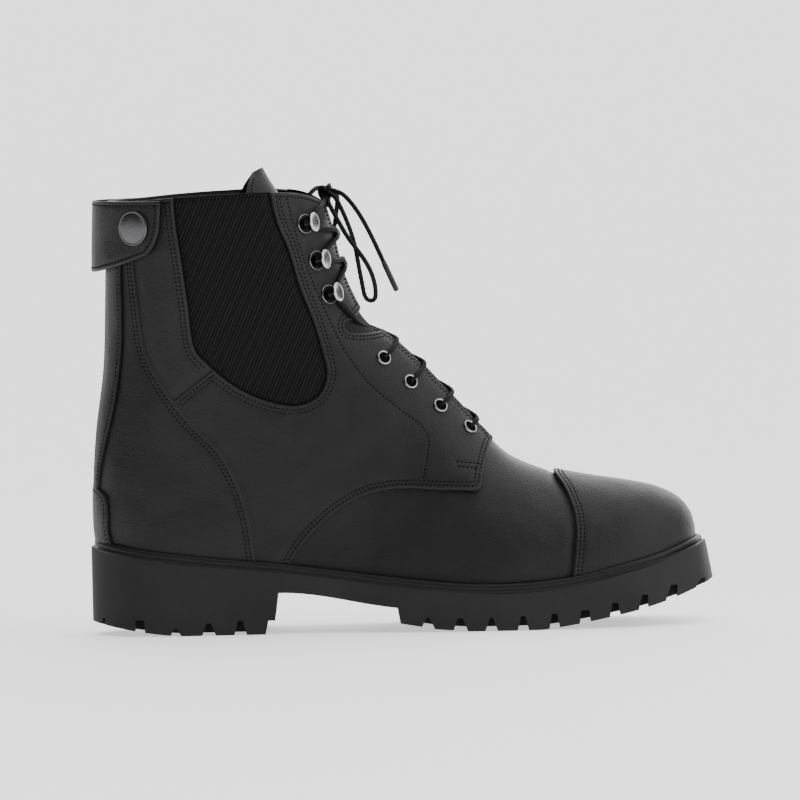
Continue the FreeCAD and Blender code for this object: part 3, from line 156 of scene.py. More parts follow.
# How far the two front corners of the quarter stand off the vamp, and over what reach.
CORNER_LIFTS = ((0.9, 14.0), (1.5, 9.0))
VAMP_REAR_EDGE = [(-70, 10), (-62, 40), (-46, 56), (-26, 68.5), (-5, 76), (14, 78.5), (26, 86), (31, 99),
                  (32, 125)]
TOE_CAP_SEAM = [(72, 90), (76.5, 74.8), (80.7, 68.1), (83.3, 62.0), (85.3, 55.0), (85.9, 46.5), (85.2, 37.7),
                (83.5, 20), (83, 0)]
FACING_STITCH = [(-50.5, 222), (-49.5, 209.8), (-43.6, 184.9), (-38.9, 171.2), (-30.0, 149.0),
                 (-22.4, 133.3), (-10.9, 118.1), (2.2, 106.6), (12.4, 98.3), (15.8, 92.0), (15.1, 83.9),
                 (12.7, 72.0)]
# The gap in the facing over the ankle, open towards the front.
NOTCH_EDGE = [(6, 164), (-13.8, 157.6), (-15.9, 152.8), (-19.4, 149.9), (-22.8, 148.4), (-22.0, 144.6),
              (-15.5, 143.4), (-6.4, 144.0), (8, 149)]
BAR_TACK = ([(28.6, 80.9), (40.8, 79.2)], [(28.8, 80.9), (29.0, 78.4)], [(29.2, 78.4), (41.0, 76.8)])
THROAT_HALF = 9.0
ZIP_HALF = 5.2
ZIP_FOOT_Z = 79.0
EYELET_PLACES = [(-4.7, 131.0), (7.9, 119.2), (22.0, 107.3), (36.0, 96.6)]
SNAP_PLACE = (-119.6, 196.7)
SIDES = {"lateral": -1.0, "medial": 1.0}


def station_values(place):
    """The station table's rows at any places between its rows, by smooth interpolation."""
    place = np.clip(place, 0, LAST)
    index = np.minimum(place.astype(int), LAST - 1)
    part = (place - index)[:, None]
    rows = np.vstack([2 * STATIONS[0] - STATIONS[1], STATIONS, 2 * STATIONS[-1] - STATIONS[-2]])
    a, b, c, d = (rows[index + k] for k in range(4))
    cubic = (-a + 3 * b - 3 * c + d) * part ** 3
    return 0.5 * (2 * b + (c - a) * part + (2 * a - 5 * b + 4 * c - d) * part ** 2 + cubic)


def lasted(place, angle):
    """Points of the lasted surface: angle 0 is the front, pi the back, negative is lateral.

    Past the last station the sections shrink to one point, which closes the toe.
    """
    v = station_values(place)
    cosine, sine = np.cos(angle), np.sin(angle)
    half = np.where(sine > 0, v[:, 5], v[:, 4])
    blunt = np.where(cosine > 0, v[:, 7], v[:, 8])
    widest = v[:, 6]
    along = np.where(cosine > 0, widest * (1 - cosine), widest - (1 - widest) * cosine)
    x = v[:, 0] + along * (v[:, 2] - v[:, 0])
    y = v[:, 9] + half * sine * (1 + blunt * cosine ** 2)
    z = v[:, 1] + along * (v[:, 3] - v[:, 1])
    points = np.stack([x, y, z], 1)
    past = np.clip(place - LAST, 0, 1)[:, None]
    return points + (TOE_CLOSE - points) * past


def slopes(place, angle):
    """How the surface's points move along the stations and around the angles."""
    low = np.maximum(place - SLOPE_STEP, 0.0)
    high = place + SLOPE_STEP
    along = (lasted(high, angle) - lasted(low, angle)) / (high - low)[:, None]
    around = (lasted(place, angle + SLOPE_STEP) - lasted(place, angle - SLOPE_STEP)) / (2 * SLOPE_STEP)
    return along, around


def unit(vectors):
    return vectors / np.maximum(np.linalg.norm(vectors, axis=-1, keepdims=True), 1e-9)


def normals(place, angle):
    along, around = slopes(place, angle)
    return unit(np.cross(along, around))


def raised(place, angle, height):
    """Points at a height, or at heights, over the lasted surface."""
    return lasted(place, angle) + normals(place, angle) * np.reshape(height, (-1, 1))


def bisect(rule, low, high, steps=40):
    """Where rule changes sign between low and high, element by element."""
    low, high = np.array(low, float), np.array(high, float)
    start = np.sign(rule(low))
    for _ in range(steps):
        middle = 0.5 * (low + high)
        same = np.sign(rule(middle)) == start
        low = np.where(same, middle, low)
        high = np.where(same, high, middle)
    return 0.5 * (low + high)


def address(points, side, rise=0.0):
    """Places of the surface seen at side-view points (x, z) once raised, and which exist."""
    target = np.asarray(points, float)
    place, angle, found = address_flat(target, side)
    for _ in range(3 if rise else 0):
        shift = normals(place, angle)[:, [0, 2]] * rise
        place, angle, found = address_flat(target - shift, side)
    return place, angle, found


def address_flat(points, side):
    """Station numbers and angles of side-view points (x, z), and which lie on the surface."""
    x, z = np.asarray(points, float).T

    def side_of_section(place):
        v = station_values(place)
        return (v[:, 2] - v[:, 0]) * (z - v[:, 1]) - (v[:, 3] - v[:, 1]) * (x - v[:, 0])

    place = bisect(side_of_section, np.zeros_like(x), np.full_like(x, LAST))
    v = station_values(place)
    run_x, run_z = v[:, 2] - v[:, 0], v[:, 3] - v[:, 1]
    along = ((x - v[:, 0]) * run_x + (z - v[:, 1]) * run_z) / (run_x ** 2 + run_z ** 2)
    found = (along >= 0) & (along <= 1) & (place > 0.01) & (place < LAST - 0.01)
    widest = v[:, 6]
    cosine = np.where(along < widest, 1 - along / widest, -(along - widest) / (1 - widest))
    return place, side * np.arccos(np.clip(cosine, -1, 1)), found


def smooth_line(points, step=0.8):
    """Points along a smooth curve through given points."""
    p = np.asarray(points, float)
    chord = np.sqrt(np.linalg.norm(np.diff(p, axis=0), axis=1))
    knots = np.concatenate([[0], np.cumsum(chord)])
    slope = np.diff(p, axis=0) / chord[:, None]
    tangents = np.vstack([slope[:1], (slope[:-1] * chord[1:, None] + slope[1:] * chord[:-1, None])
                          / (chord[1:] + chord[:-1])[:, None], slope[-1:]])
    out = []
    for k in range(len(p) - 1):
        span = knots[k + 1] - knots[k]
        count = max(2, int(np.linalg.norm(p[k + 1] - p[k]) / step))
        f = (np.arange(count) / count)[:, None]
        out.append((2 * f ** 3 - 3 * f ** 2 + 1) * p[k] + (f ** 3 - 2 * f ** 2 + f) * span * tangents[k]
                   + (3 * f ** 2 - 2 * f ** 3) * p[k + 1] + (f ** 3 - f ** 2) * span * tangents[k + 1])
    return np.vstack(out + [p[-1:]])


def crowded(count):
    """Shares from -1 to 1 that lie closer together towards both ends."""
    return np.sin(np.linspace(-1, 1, count) * math.pi / 2)


def lengths(line):
    """The length along a polyline up to each of its points."""
    return np.concatenate([[0], np.cumsum(np.linalg.norm(np.diff(line, axis=0), axis=1))])


def resampled(marks, length, line):
    """The points of a polyline at given lengths along it."""
    return np.stack([np.interp(marks, length, line[:, k]) for k in range(3)], 1)


def true_runs(good, least):
    """The unbroken runs of True entries that are at least so long, as index arrays."""
    cuts = np.flatnonzero(np.diff(good.astype(int))) + 1
    return [run for run in np.split(np.arange(len(good)), cuts) if good[run[0]] and len(run) >= least]


def inside(polygon, x, z):
    """Even-odd test of side-view points against a closed polygon."""
    result = np.zeros(np.shape(x), bool)
    for (x_a, z_a), (x_b, z_b) in zip(polygon, np.roll(polygon, -1, axis=0)):
        if z_a == z_b:
            continue
        crosses = (z_a > z) != (z_b > z)
        result ^= crosses & (x < (x_b - x_a) * (z - z_a) / (z_b - z_a) + x_a)
    return result


def outside(x, z, *polygons):
    return ~np.any([inside(polygon, x, z) for polygon in polygons], axis=0)


def zone(lines, corners=()):
    """A side-view polygon from smooth lines, closed through corners outside the boot."""
    parts = [smooth_line(line, 2.0) for line in lines]
    return np.vstack(parts + [np.array(corners, float).reshape(-1, 2)])


def line_height(line):
    """The height of a side-view line at any x."""
    curve = smooth_line(line, 1.5)
    return lambda x: np.interp(x, curve[:, 0], curve[:, 1])


sole_top = line_height(SOLE_TOP_LINE)
collar_top = line_height(COLLAR_LINE)
COUNTER_ZONE = zone([COUNTER_EDGE], [(-170, 10), (-170, 240)])
BACKSTAY_ZONE = zone([BACKSTAY_EDGE], [(-170, 60), (-170, 240)])
PATCH_ZONE = zone([HEEL_PATCH_EDGE], [(-165, 30)])
GORE_ZONE = zone([GORE_EDGE])
REAR_ZONE = zone([REAR_QUARTER_SEAM], [(-80, 240), (-126, 240)])
AHEAD_ZONE = zone([QUARTER_EDGE], [(60, 125), (170, 125), (170, 0), (-58, 0)])
VAMP_ZONE = zone([VAMP_REAR_EDGE], [(170, 125), (170, 0), (-70, 0)])
TOE_ZONE = zone([TOE_CAP_SEAM], [(170, 0), (170, 90)])
NOTCH_ZONE = zone([NOTCH_EDGE])


def on_upper(x, z):
    return (z > sole_top(x)) & (z < collar_top(x))


# ---------------------------------------------------------------- seams traced on the surface
class Seam:
    """A line on the surface: its station numbers and angles, and its base points."""

    def __init__(self, place, angle, spacing=0.9):
        place, angle = np.asarray(place, float), np.asarray(angle, float)
        length = lengths(lasted(place, angle))
        marks = np.linspace(0, length[-1], max(3, int(length[-1] / spacing) + 1))
        self.place = np.interp(marks, length, place)
        self.angle = np.interp(marks, length, angle)
        self.points = lasted(self.place, self.angle)


def seam(line, side, rise=UPPER_FACE):
    """The seam that shows along a side-view line, for a face raised over the surface."""
    place, angle, found = address(smooth_line(line, 0.2), side, rise)
    return Seam(place[found], angle[found])


def joined(lateral, medial):
    """Two seams that meet at the middle plane, as one; round the back, angles run on past pi."""
    parts = []
    at_back = False
    for k, part in enumerate((lateral, medial)):
        ends = np.abs(part.points[[0, -1], 1])
        order = slice(None, None, -1) if (ends[0] < ends[1]) == (k == 0) else slice(None)
        meeting = part.angle[0] if ends[0] < ends[1] else part.angle[-1]
        at_back = at_back or abs(meeting) > math.pi / 2
        parts.append((part.place[order], part.angle[order]))
    (place_a, angle_a), (place_b, angle_b) = parts
    if at_back:
        angle_a = angle_a + 2 * math.pi
    return Seam(np.concatenate([place_a, place_b]), np.concatenate([angle_a, angle_b]))


def seam_round(line, rise=UPPER_FACE):
    """A side-view line on both sides, joined over the front or round the back."""
    return joined(seam(line, -1.0, rise), seam(line, 1.0, rise))


def level_seam(height, side, rise=UPPER_FACE):
    """Where the shaft reaches a height, from the front to the back."""
    angle = np.linspace(0.02, math.pi, 300) * side

    def over(place):
        points = raised(place, angle, rise)
        return points[:, 2] - height(points[:, 0])

    return Seam(bisect(over, np.zeros_like(angle), np.full_like(angle, COLLAR_LIMIT)), angle)


def sole_seam(side, rise=UPPER_FACE):
    """Where the surface meets the sole's top line, from the heel's back to the toe."""
    back = np.array([side * math.pi])

    def over(place, angle):
        points = raised(place, angle, rise)
        return points[:, 2] - sole_top(points[:, 0])

    low, high = HEEL_LIMITS
    heel = bisect(lambda p: over(p, back), np.array([low]), np.array([high]))[0]
    place = np.concatenate([np.linspace(heel + 0.001, high, 16), np.linspace(*SOLE_LIMITS, 240)])
    angle = bisect(lambda a: over(place, side * a), np.full_like(place, math.pi), np.zeros_like(place))
    return Seam(place, side * angle)


def strip_seam(side, half, low, high, front, rise=UPPER_FACE):
    """Where the raised surface is half away from the middle plane, at its front or its back."""
    place = np.linspace(low, high, 160)
    ends = (0.0, math.pi / 2) if front else (math.pi, math.pi / 2)
    angle = bisect(lambda a: np.abs(raised(place, side * a, rise)[:, 1]) - half,
                   np.full_like(place, ends[0]), np.full_like(place, ends[1]))
    return Seam(place, side * angle)


def distance(points, line):
    """Distance of each point to a polyline, or FAR beyond its reach."""
    result = np.full(len(points), FAR)
    near = np.all((points > line.min(0) - SEAM_REACH) & (points < line.max(0) + SEAM_REACH), axis=1)
    start, run = line[:-1], np.diff(line, axis=0)
    square = np.maximum((run ** 2).sum(1), 1e-9)
    for block in np.array_split(np.flatnonzero(near), max(1, near.sum() // 1500)):
        if not len(block):
            continue
        off = points[block, None] - start
        t = np.clip((off * run).sum(2) / square, 0, 1)
        result[block] = np.sqrt(((off - t[..., None] * run) ** 2).sum(2).min(1))
    return result


def shifted(line, across):
    """A seam's places and angles moved square to it over the surface, by across."""
    along, around = slopes(line.place, line.angle)
    normal = unit(np.cross(along, around))
    sideways = np.cross(normal, unit(np.gradient(line.points, axis=0))) * across
    aa, ab, bb = ((p * q).sum(1) for p, q in ((along, along), (along, around), (around, around)))
    sa, sb = (sideways * along).sum(1), (sideways * around).sum(1)
    scale = np.maximum(aa * bb - ab ** 2, 1e-9)
    return line.place + (sa * bb - sb * ab) / scale, line.angle + (sb * aa - sa * ab) / scale


# ---------------------------------------------------------------- meshes
def add_object(name, data):
    """An object in the scene, for a mesh, curve, light or camera."""
    holder = bpy.data.objects.new(name, data)
    bpy.context.scene.collection.objects.link(holder)
    return holder


def mesh_object(name, points, faces, finish, smooth=True, hard_edges=None):
    """A mesh piece from millimetre points."""
    mesh = bpy.data.meshes.new(name)
    mesh.from_pydata([tuple(p) for p in np.asarray(points) * MM], [], [tuple(map(int, f)) for f in faces])
    mesh.polygons.foreach_set("use_smooth", [smooth] * len(mesh.polygons))
    if hard_edges is not None:
        wanted = {tuple(sorted(map(int, e))) for e in hard_edges}
        sharp = mesh.attributes.new("sharp_edge", "BOOLEAN", "EDGE")
        sharp.data.foreach_set("value", [tuple(sorted(e.vertices)) in wanted for e in mesh.edges])
    mesh.validate()
    mesh.update()
    mesh.materials.append(finish)
    return add_object(name, mesh)


def gathered(name, shapes, finish):
    """Several (points, faces) shapes as one piece."""
    points, faces, start = [], [], 0
    for shape_points, shape_faces in shapes:
        points.append(np.asarray(shape_points, float).reshape(-1, 3))
        faces += [tuple(start + k for k in face) for face in shape_faces]
        start += len(points[-1])
    return mesh_object(name, np.concatenate(points), faces, finish)


def tube_faces(rings, sides, looped=False):
    """Quads between rings of points laid one after another, with flat ends unless looped."""
    faces = []
    for i in range(rings if looped else rings - 1):
        a, b = i * sides, (i + 1) % rings * sides
        faces += [(a + j, a + (j + 1) % sides, b + (j + 1) % sides, b + j) for j in range(sides)]
    if not looped:
        faces += [tuple(range(sides))[::-1], tuple(range((rings - 1) * sides, rings * sides))]
    return faces


def boundary(faces):
    """The open edges of a triangle set, in face order."""
    edges = np.concatenate([faces[:, [0, 1]], faces[:, [1, 2]], faces[:, [2, 0]]])
    key = np.sort(edges, 1)
    _, first, count = np.unique(key, axis=0, return_index=True, return_counts=True)
    return edges[first[count == 1]]


class Panel:
    """A sewn panel of the upper, as a height over the lasted surface.

    test(x, y, z) says what belongs to it. Each edge is (seam, kind, rows): kind "over" is a
    rounded cut edge on top, "under" is tucked under a neighbour, "plain" just ends, "row" is
    only stitching, and rows are the distances of its stitch rows.
    """

    def __init__(self, name, test, edges, face, back, extra=None, round_back=False, pitch=PANEL_PITCH,
                 level=UPPER_FACE):
        self.name, self.test, self.edges = name, test, edges
        self.face, self.back, self.extra = face, back, extra
        self.round_back, self.pitch, self.level = round_back, pitch, level

    def domain(self, angle):
        return np.mod(angle, 2 * math.pi) if self.round_back else angle

    def holds(self, place, angle):
        x, y, z = raised(place, angle, self.level).T
        return self.test(x, y, z)

    def height(self, place, angle):
        """Height of the face over the lasted surface, and how much paler the colour is near raised cut edges.
        """
        points = lasted(place, angle)
        rise = np.full(len(points), self.face)
        over = np.full(len(points), FAR)
        for line, kind, rows in self.edges:
            d = distance(points, line.points)
            if kind == "over":
                over = np.minimum(over, d)
            elif kind == "under":
                share = np.clip(d / TUCK_REACH, 0, 1)
                rise -= TUCK_DEPTH * (1 - share * share * (3 - 2 * share))
            for row in rows:
                rise -= GROOVE_DEPTH * np.exp(-((d - abs(row)) / GROOVE_HALF) ** 2)
        inner = np.clip(1 - over / EDGE_ROUND, 0, 1)
        rise -= EDGE_ROUND * (1 - np.sqrt(1 - inner ** 2))
        if self.extra is not None:
            rise += self.extra(points, angle)
        return rise, np.exp(-over / PALE_EDGE_REACH)

    def triangles(self):
        """A triangulation of the panel that follows its seams and their inner rings."""
        chains, rings = [], []
        for line, kind, rows in self.edges:
            chains.append((line.place, self.domain(line.angle)))
            distances = set(EDGE_RINGS if kind == "over" else (PLAIN_RING,))
            for row in rows:
                distances |= {abs(row) - GROOVE_HALF, abs(row), abs(row) + GROOVE_HALF}
            for across in sorted(d for d in distances if d > 0):
                for sign in (-1, 1):
                    place, angle = shifted(line, sign * across)
                    ring = lasted(place, angle)
                    clear = distance(ring, line.points) > RING_CLEAR * across
                    rings.append(np.stack([place, self.domain(angle)], 1)[clear & self.holds(place, angle)])
        outline = np.concatenate([np.stack(chain, 1) for chain in chains])
        along, around = slopes(outline[:, 0], outline[:, 1])
        scale = np.array([np.linalg.norm(along, axis=1).mean(), np.linalg.norm(around, axis=1).mean()])
        lows, highs = outline.min(0) * scale, outline.max(0) * scale
        grid = []
        for k, u in enumerate(np.arange(lows[0], highs[0], self.pitch * 0.87)):
            v = np.arange(lows[1] + (k % 2) * self.pitch / 2, highs[1], self.pitch)
            grid.append(np.stack([np.full_like(v, u), v], 1))
        grid = np.concatenate(grid) / scale
        keep = self.holds(grid[:, 0], grid[:, 1])
        grid = grid[keep] * scale
        rings = np.concatenate(rings) * scale
        fixed = np.concatenate([rings, outline * scale])
        grid = grid[nearest(grid, fixed) > GRID_CLEAR * self.pitch]
        rings = rings[nearest(rings, outline * scale) > RING_GAP]
        points = [Vector(p) for p in np.concatenate([grid, rings])]
        edges = []
        for place, angle in chains:
            start = len(points)
            points += [Vector(p) for p in np.stack([place, angle], 1) * scale]
            edges += [(k, k + 1) for k in range(start, len(points) - 1)]
        found, _, faces, *_ = delaunay_2d_cdt(points, edges, [], 0, 1e-4)
        flat = np.array([tuple(p) for p in found]) / scale
        faces = np.array(faces)
        middle = flat[faces].mean(1)
        faces = faces[self.holds(middle[:, 0], middle[:, 1])]
        used, faces = np.unique(faces, return_inverse=True)
        return flat[used], faces.reshape(-1, 3)

    def build(self, finish):
        flat, faces = self.triangles()
        base = lasted(flat[:, 0], flat[:, 1])
        normal = normals(flat[:, 0], flat[:, 1])
        corner = base[faces]
        turn = np.cross(corner[:, 1] - corner[:, 0], corner[:, 2] - corner[:, 0])
        wrong = (turn * normal[faces[:, 0]]).sum(1) < 0
        faces[wrong] = faces[wrong][:, ::-1]
        rise, paleness = self.height(flat[:, 0], flat[:, 1])
        back = np.full(len(base), self.back)
        if self.extra is not None:
            back += self.extra(base, flat[:, 1])
        count = len(base)
        rim = boundary(faces)
        quads = np.stack([rim[:, 1], rim[:, 0], rim[:, 0] + count, rim[:, 1] + count], 1)
        points = np.concatenate([base + normal * rise[:, None], base + normal * back[:, None]])
        all_faces = list(faces) + list(faces[:, ::-1] + count) + list(quads)
        piece = mesh_object(self.name, points, all_faces, finish, True, np.concatenate([rim, rim + count]))
        attribute = piece.data.attributes.new("edge_paleness", "FLOAT", "POINT")
        attribute.data.foreach_set("value", np.concatenate([paleness, paleness]).astype(np.float32))
        return piece

    def stitch_rows(self):
        """Every stitch row of the panel as (place, angle) arrays, cut where it leaves it."""
        found = []
        for line, kind, rows in self.edges:
            others = [e[0] for e in self.edges if e[0] is not line and e[1] != "row"]
            for row in rows:
                for sign in ((1,) if kind == "row" else (-1, 1)):
                    place, angle = shifted(line, sign * row)
                    points = lasted(place, angle)
                    good = self.holds(place, angle)
                    good &= distance(points, line.points) >= ROW_CLEAR * abs(row) - 0.01
                    for other in others:
                        good &= distance(points, other.points) > ROW_GAP
                    found += [(place[run], angle[run]) for run in true_runs(good, 5)]
        return found


def nearest(points, others, reach=6.0):
    """Distance in the plane from each point to the nearest of the others."""
    result = np.full(len(points), reach)
    order = np.argsort(others[:, 0])
    others = others[order]
    for block in np.array_split(np.argsort(points[:, 0]), max(1, len(points) // 400)):
        low = np.searchsorted(others[:, 0], points[block, 0].min() - reach)
        high = np.searchsorted(others[:, 0], points[block, 0].max() + reach)
        if high > low and len(block):
            gaps = points[block, None] - others[None, low:high]
            result[block] = np.sqrt((gaps ** 2).sum(2).min(1))
    return result


def evenly(points, pitch):
    """The lengths along a polyline, and marks on it at an even pitch."""
    length = lengths(points)
    return length, np.arange(pitch / 2, length[-1] - pitch / 2, pitch)


THREAD_RINGS = [(0.0, -0.32, 0.5), (0.18, 0.0, 0.95), (0.5, 0.1, 1.0), (0.82, 0.0, 0.95), (1.0, -0.32, 0.5)]
THREAD_SIDES = 6


def thread_mesh(name, starts, ends, ups, finish):
    """Short sunk threads, one for each stitch, in one mesh."""
    along = unit(ends - starts)
    across = unit(np.cross(along, ups))
    turns = np.arange(THREAD_SIDES) * 2 * math.pi / THREAD_SIDES
    rings = []
    for share, lift, size in THREAD_RINGS:
        middle = starts + (ends - starts) * share + ups * lift
        for turn in turns:
            rings.append(middle + (ups * math.cos(turn) + across * math.sin(turn)) * (THREAD_RADIUS * size))
    count = len(starts)
    points = np.stack(rings, 1).reshape(-1, 3)
    per = len(THREAD_RINGS) * THREAD_SIDES
    one = tube_faces(len(THREAD_RINGS), THREAD_SIDES)
    every = [tuple(per * s + k for k in face) for s in range(count) for face in one]
    return mesh_object(name, points, every, finish)


def stitch(name, panel, rows, finish, pitch=STITCH_PITCH, length=STITCH_LENGTH):
    """Threads along (place, angle) rows, lying in a panel's face."""
    starts, ends, ups = [], [], []
    for place, angle in rows:
        distances, marks = evenly(lasted(place, angle), pitch)
        if not len(marks):
            continue
        for group, shift in ((starts, -length / 2), (ends, length / 2)):
            p = np.interp(marks + shift, distances, place)
            a = np.interp(marks + shift, distances, angle)
            base = lasted(p, a)
            normal = normals(p, a)
            group.append(base + normal * (panel.height(p, a)[0] + THREAD_LIFT)[:, None])
        ups.append(normal)
    if starts:
        return thread_mesh(name, np.concatenate(starts), np.concatenate(ends), np.concatenate(ups), finish)
    return None


# ---------------------------------------------------------------- materials
def new_material(name, color, roughness, metallic=0.0, **sockets):
    material = bpy.data.materials.new(name)
    material.use_nodes = True
    shader = material.node_tree.nodes["Principled BSDF"]
    shader.inputs["Base Color"].default_value = (*color, 1)
    shader.inputs["Roughness"].default_value = roughness
    shader.inputs["Metallic"].default_value = metallic
    for socket, value in sockets.items():
        shader.inputs[socket.replace("_", " ")].default_value = value
    return material


def add_node(material, kind, **inputs):
    """A node of a material or world; an input is a number, a colour or a node's output."""
    tree = material.node_tree
    node = tree.nodes.new("ShaderNode" + kind)
    for socket, value in inputs.items():
        target = node.inputs[socket.replace("_", " ")]
        if isinstance(value, bpy.types.NodeSocket):
            tree.links.new(value, target)
        else:
            target.default_value = value
    return node


def noise(material, place, scale, detail=2.0, roughness=0.5):
    node = add_node(material, "TexNoise", Vector=place, Scale=scale, Detail=detail, Roughness=roughness)
    return node.outputs["Fac"]


def cells(material, place, scale, randomness=1.0):
    node = add_node(material, "TexVoronoi", Vector=place, Scale=scale, Randomness=randomness)
    return node.outputs["Distance"]


def product(material, first, second):
    node = add_node(material, "Math")
    node.operation = "MULTIPLY"
    for value, target in zip((first, second), node.inputs):
        material.node_tree.links.new(value, target)
    return node.outputs["Value"]


def shade(color, share):
    return tuple(min(share * c, 1.0) for c in color)


def connect(material, output, socket):
    shader = material.node_tree.nodes["Principled BSDF"]
    material.node_tree.links.new(output, shader.inputs[socket])


def surface_coordinates(material, stretch=(1, 1, 1)):
    coordinates = add_node(material, "TexCoord")
    mapping = add_node(material, "Mapping", Vector=coordinates.outputs["Object"], Scale=stretch)
    return mapping.outputs["Vector"]


def ramp(material, factor, low_color, high_color, low=0.0, high=1.0):
    node = add_node(material, "ValToRGB", Fac=factor)
    first, second = node.color_ramp.elements
    first.position, second.position = low, high
    first.color, second.color = (*low_color, 1), (*high_color, 1)
    return node.outputs["Color"]


def spread(material, factor, low, high):
    node = add_node(material, "MapRange", Value=factor, To_Min=low, To_Max=high)
    return node.outputs["Result"]


def relief(material, *layers):
    """Bumps laid one over another: each a height, a depth in metres and a strength."""
    under = {}
    for height, depth, strength in layers:
        node = add_node(material, "Bump", Height=height, Distance=depth, Strength=strength, **under)
        under = {"Normal": node.outputs["Normal"]}
    connect(material, under["Normal"], "Normal")


def leather(name, dark, light, roughness, grain=1.0):
    """Smooth grain leather: fine pebbles, pores, soft unevenness and a paler colour near raised cut edges."""
    material = new_material(name, light, roughness, Specular_IOR_Level=0.28)
    place = surface_coordinates(material)
    cloud = noise(material, place, 55.0, detail=5.0, roughness=0.6)
    # Near raised cut edges the colour is mixed towards a tone 2.2 times paler.
    paleness = add_node(material, "Attribute")
    paleness.attribute_name = "edge_paleness"
    pale_mix = add_node(material, "Mix")
    pale_mix.data_type = "RGBA"
    pale_mix.inputs[7].default_value = (*shade(light, 2.2), 1)
    links = material.node_tree.links
    links.new(ramp(material, cloud, dark, light, 0.3, 0.72), pale_mix.inputs[6])
    links.new(product(material, paleness.outputs["Fac"], cloud), pale_mix.inputs[0])
    connect(material, pale_mix.outputs[2], "Base Color")
    connect(material, spread(material, cloud, roughness - 0.06, roughness + 0.08), "Roughness")
    relief(material, (noise(material, place, 28.0), 0.0024 * grain, 1.0),
           (cells(material, place, 1150.0, randomness=0.95), 0.00022 * grain, 0.7),
           (noise(material, place, 2600.0, detail=3.0), 0.00018 * grain, 0.8))
    return material


def rubber(name, color, roughness):
    """Moulded rubber with a faint pebbled skin and dusty unevenness."""
    material = new_material(name, color, roughness, Specular_IOR_Level=0.22)
    place = surface_coordinates(material)
    dust = noise(material, place, 42.0, detail=6.0, roughness=0.65)
    connect(material, ramp(material, dust, shade(color, 0.8), shade(color, 1.35), 0.3, 0.75), "Base Color")
    connect(material, spread(material, dust, roughness - 0.08, roughness + 0.12), "Roughness")
    relief(material, (noise(material, place, 1500.0, detail=4.0), 0.00012, 0.55))
    return material


def woven(name, dark, light, roughness, pitch, direction, depth=0.00025):
    """Woven cloth: two crossing sets of threads in the plane of the side view."""
    material = new_material(name, light, roughness, Specular_IOR_Level=0.12)
    place = surface_coordinates(material)
    lay = add_node(material, "Mapping", Vector=place, Rotation=(0.0, direction, 0.0)).outputs["Vector"]
    warp = add_node(material, "TexWave", Vector=lay, Scale=0.314 / pitch, Distortion=0.6, Detail=1.0)
    weft = add_node(material, "TexWave", Vector=lay, Scale=0.22 / pitch, Distortion=0.8)
    weft.bands_direction = "Z"
    connect(material, ramp(material, warp.outputs["Fac"], dark, light, 0.2, 0.9), "Base Color")
    relief(material, (product(material, warp.outputs["Fac"], weft.outputs["Fac"]), depth, 0.8),
           (noise(material, place, 3000.0, detail=3.0), 0.0001, 0.4))
    return material


def metal(name, color, roughness, scratch=(60, 60, 60), depth=0.00002):
    """Plated or brushed metal with fine marks and uneven polish."""
    material = new_material(name, color, roughness, 1.0)
    marks = noise(material, surface_coordinates(material, scratch), 40.0, detail=5.0)
    tone = noise(material, surface_coordinates(material), 300.0, detail=3.0)
    connect(material, ramp(material, tone, shade(color, 0.94), shade(color, 1.05), 0.35, 0.7), "Base Color")
    connect(material, spread(material, tone, roughness * 0.85, roughness * 1.2), "Roughness")
    relief(material, (marks, depth, 0.6))
    return material


def plain_stock(name, dark, light, roughness, scale, depth=0.0003):
    """Cork, board, foam or plastic: speckled colour and a rough face."""
    material = new_material(name, light, roughness)
    place = surface_coordinates(material)
    cloud = noise(material, place, scale * 0.4, detail=5.0)
    connect(material, ramp(material, cloud, dark, light, 0.3, 0.7), "Base Color")
    relief(material, (cells(material, place, scale), depth, 0.5))
    return material


BLACK_LEATHER = leather("black_leather", (0.0040, 0.0041, 0.0043), (0.0072, 0.0073, 0.0076), 0.48)
SOFT_LEATHER = leather("soft_leather", (0.0035, 0.0035, 0.0037), (0.0062, 0.0062, 0.0065), 0.52, 1.4)
LINING_LEATHER = leather("lining_leather", (0.0035, 0.0035, 0.0037), (0.006, 0.006, 0.0063), 0.6, 1.2)
SOLE_RUBBER = rubber("sole_rubber", (0.0135, 0.0135, 0.0137), 0.6)
WELT_RUBBER = rubber("welt_rubber", (0.0060, 0.0060, 0.0062), 0.46)
GORE_CLOTH = woven("gore_cloth", (0.0014, 0.0014, 0.0015), (0.0040, 0.0040, 0.0042), 0.72, 0.0011, -0.42,
                   0.00005)
# The ribs' cloth is a lighter copy of the gore cloth: a painted highlight on the raised ribs, with the cloth
# between them left darker.
LIT_RIB_CLOTH = woven("rib_cloth_painted_highlight", (0.0085, 0.0085, 0.0087), (0.0200, 0.0200, 0.0204), 0.66, 0.0011, -0.42,
                  0.00005)
# Near-black cloth that stands in for the shade inside the eyelet holes: painted shade.
SHADOW_CLOTH = woven("shadow_cloth", (0.0008, 0.0008, 0.0008), (0.0016, 0.0016, 0.0016), 0.95, 0.0012, 0.2)
TAPE_CLOTH = woven("tape_cloth", (0.003, 0.003, 0.003), (0.010, 0.010, 0.0105), 0.8, 0.0007, 0.0)
FOOTBED_CLOTH = woven("footbed_cloth", (0.008, 0.008, 0.009), (0.03, 0.03, 0.032), 0.85, 0.0012, 0.7)
LACE_CORD = woven("lace_cord", (0.004, 0.004, 0.0042), (0.011, 0.011, 0.0115), 0.62, 0.0006, 0.5, 0.0001)
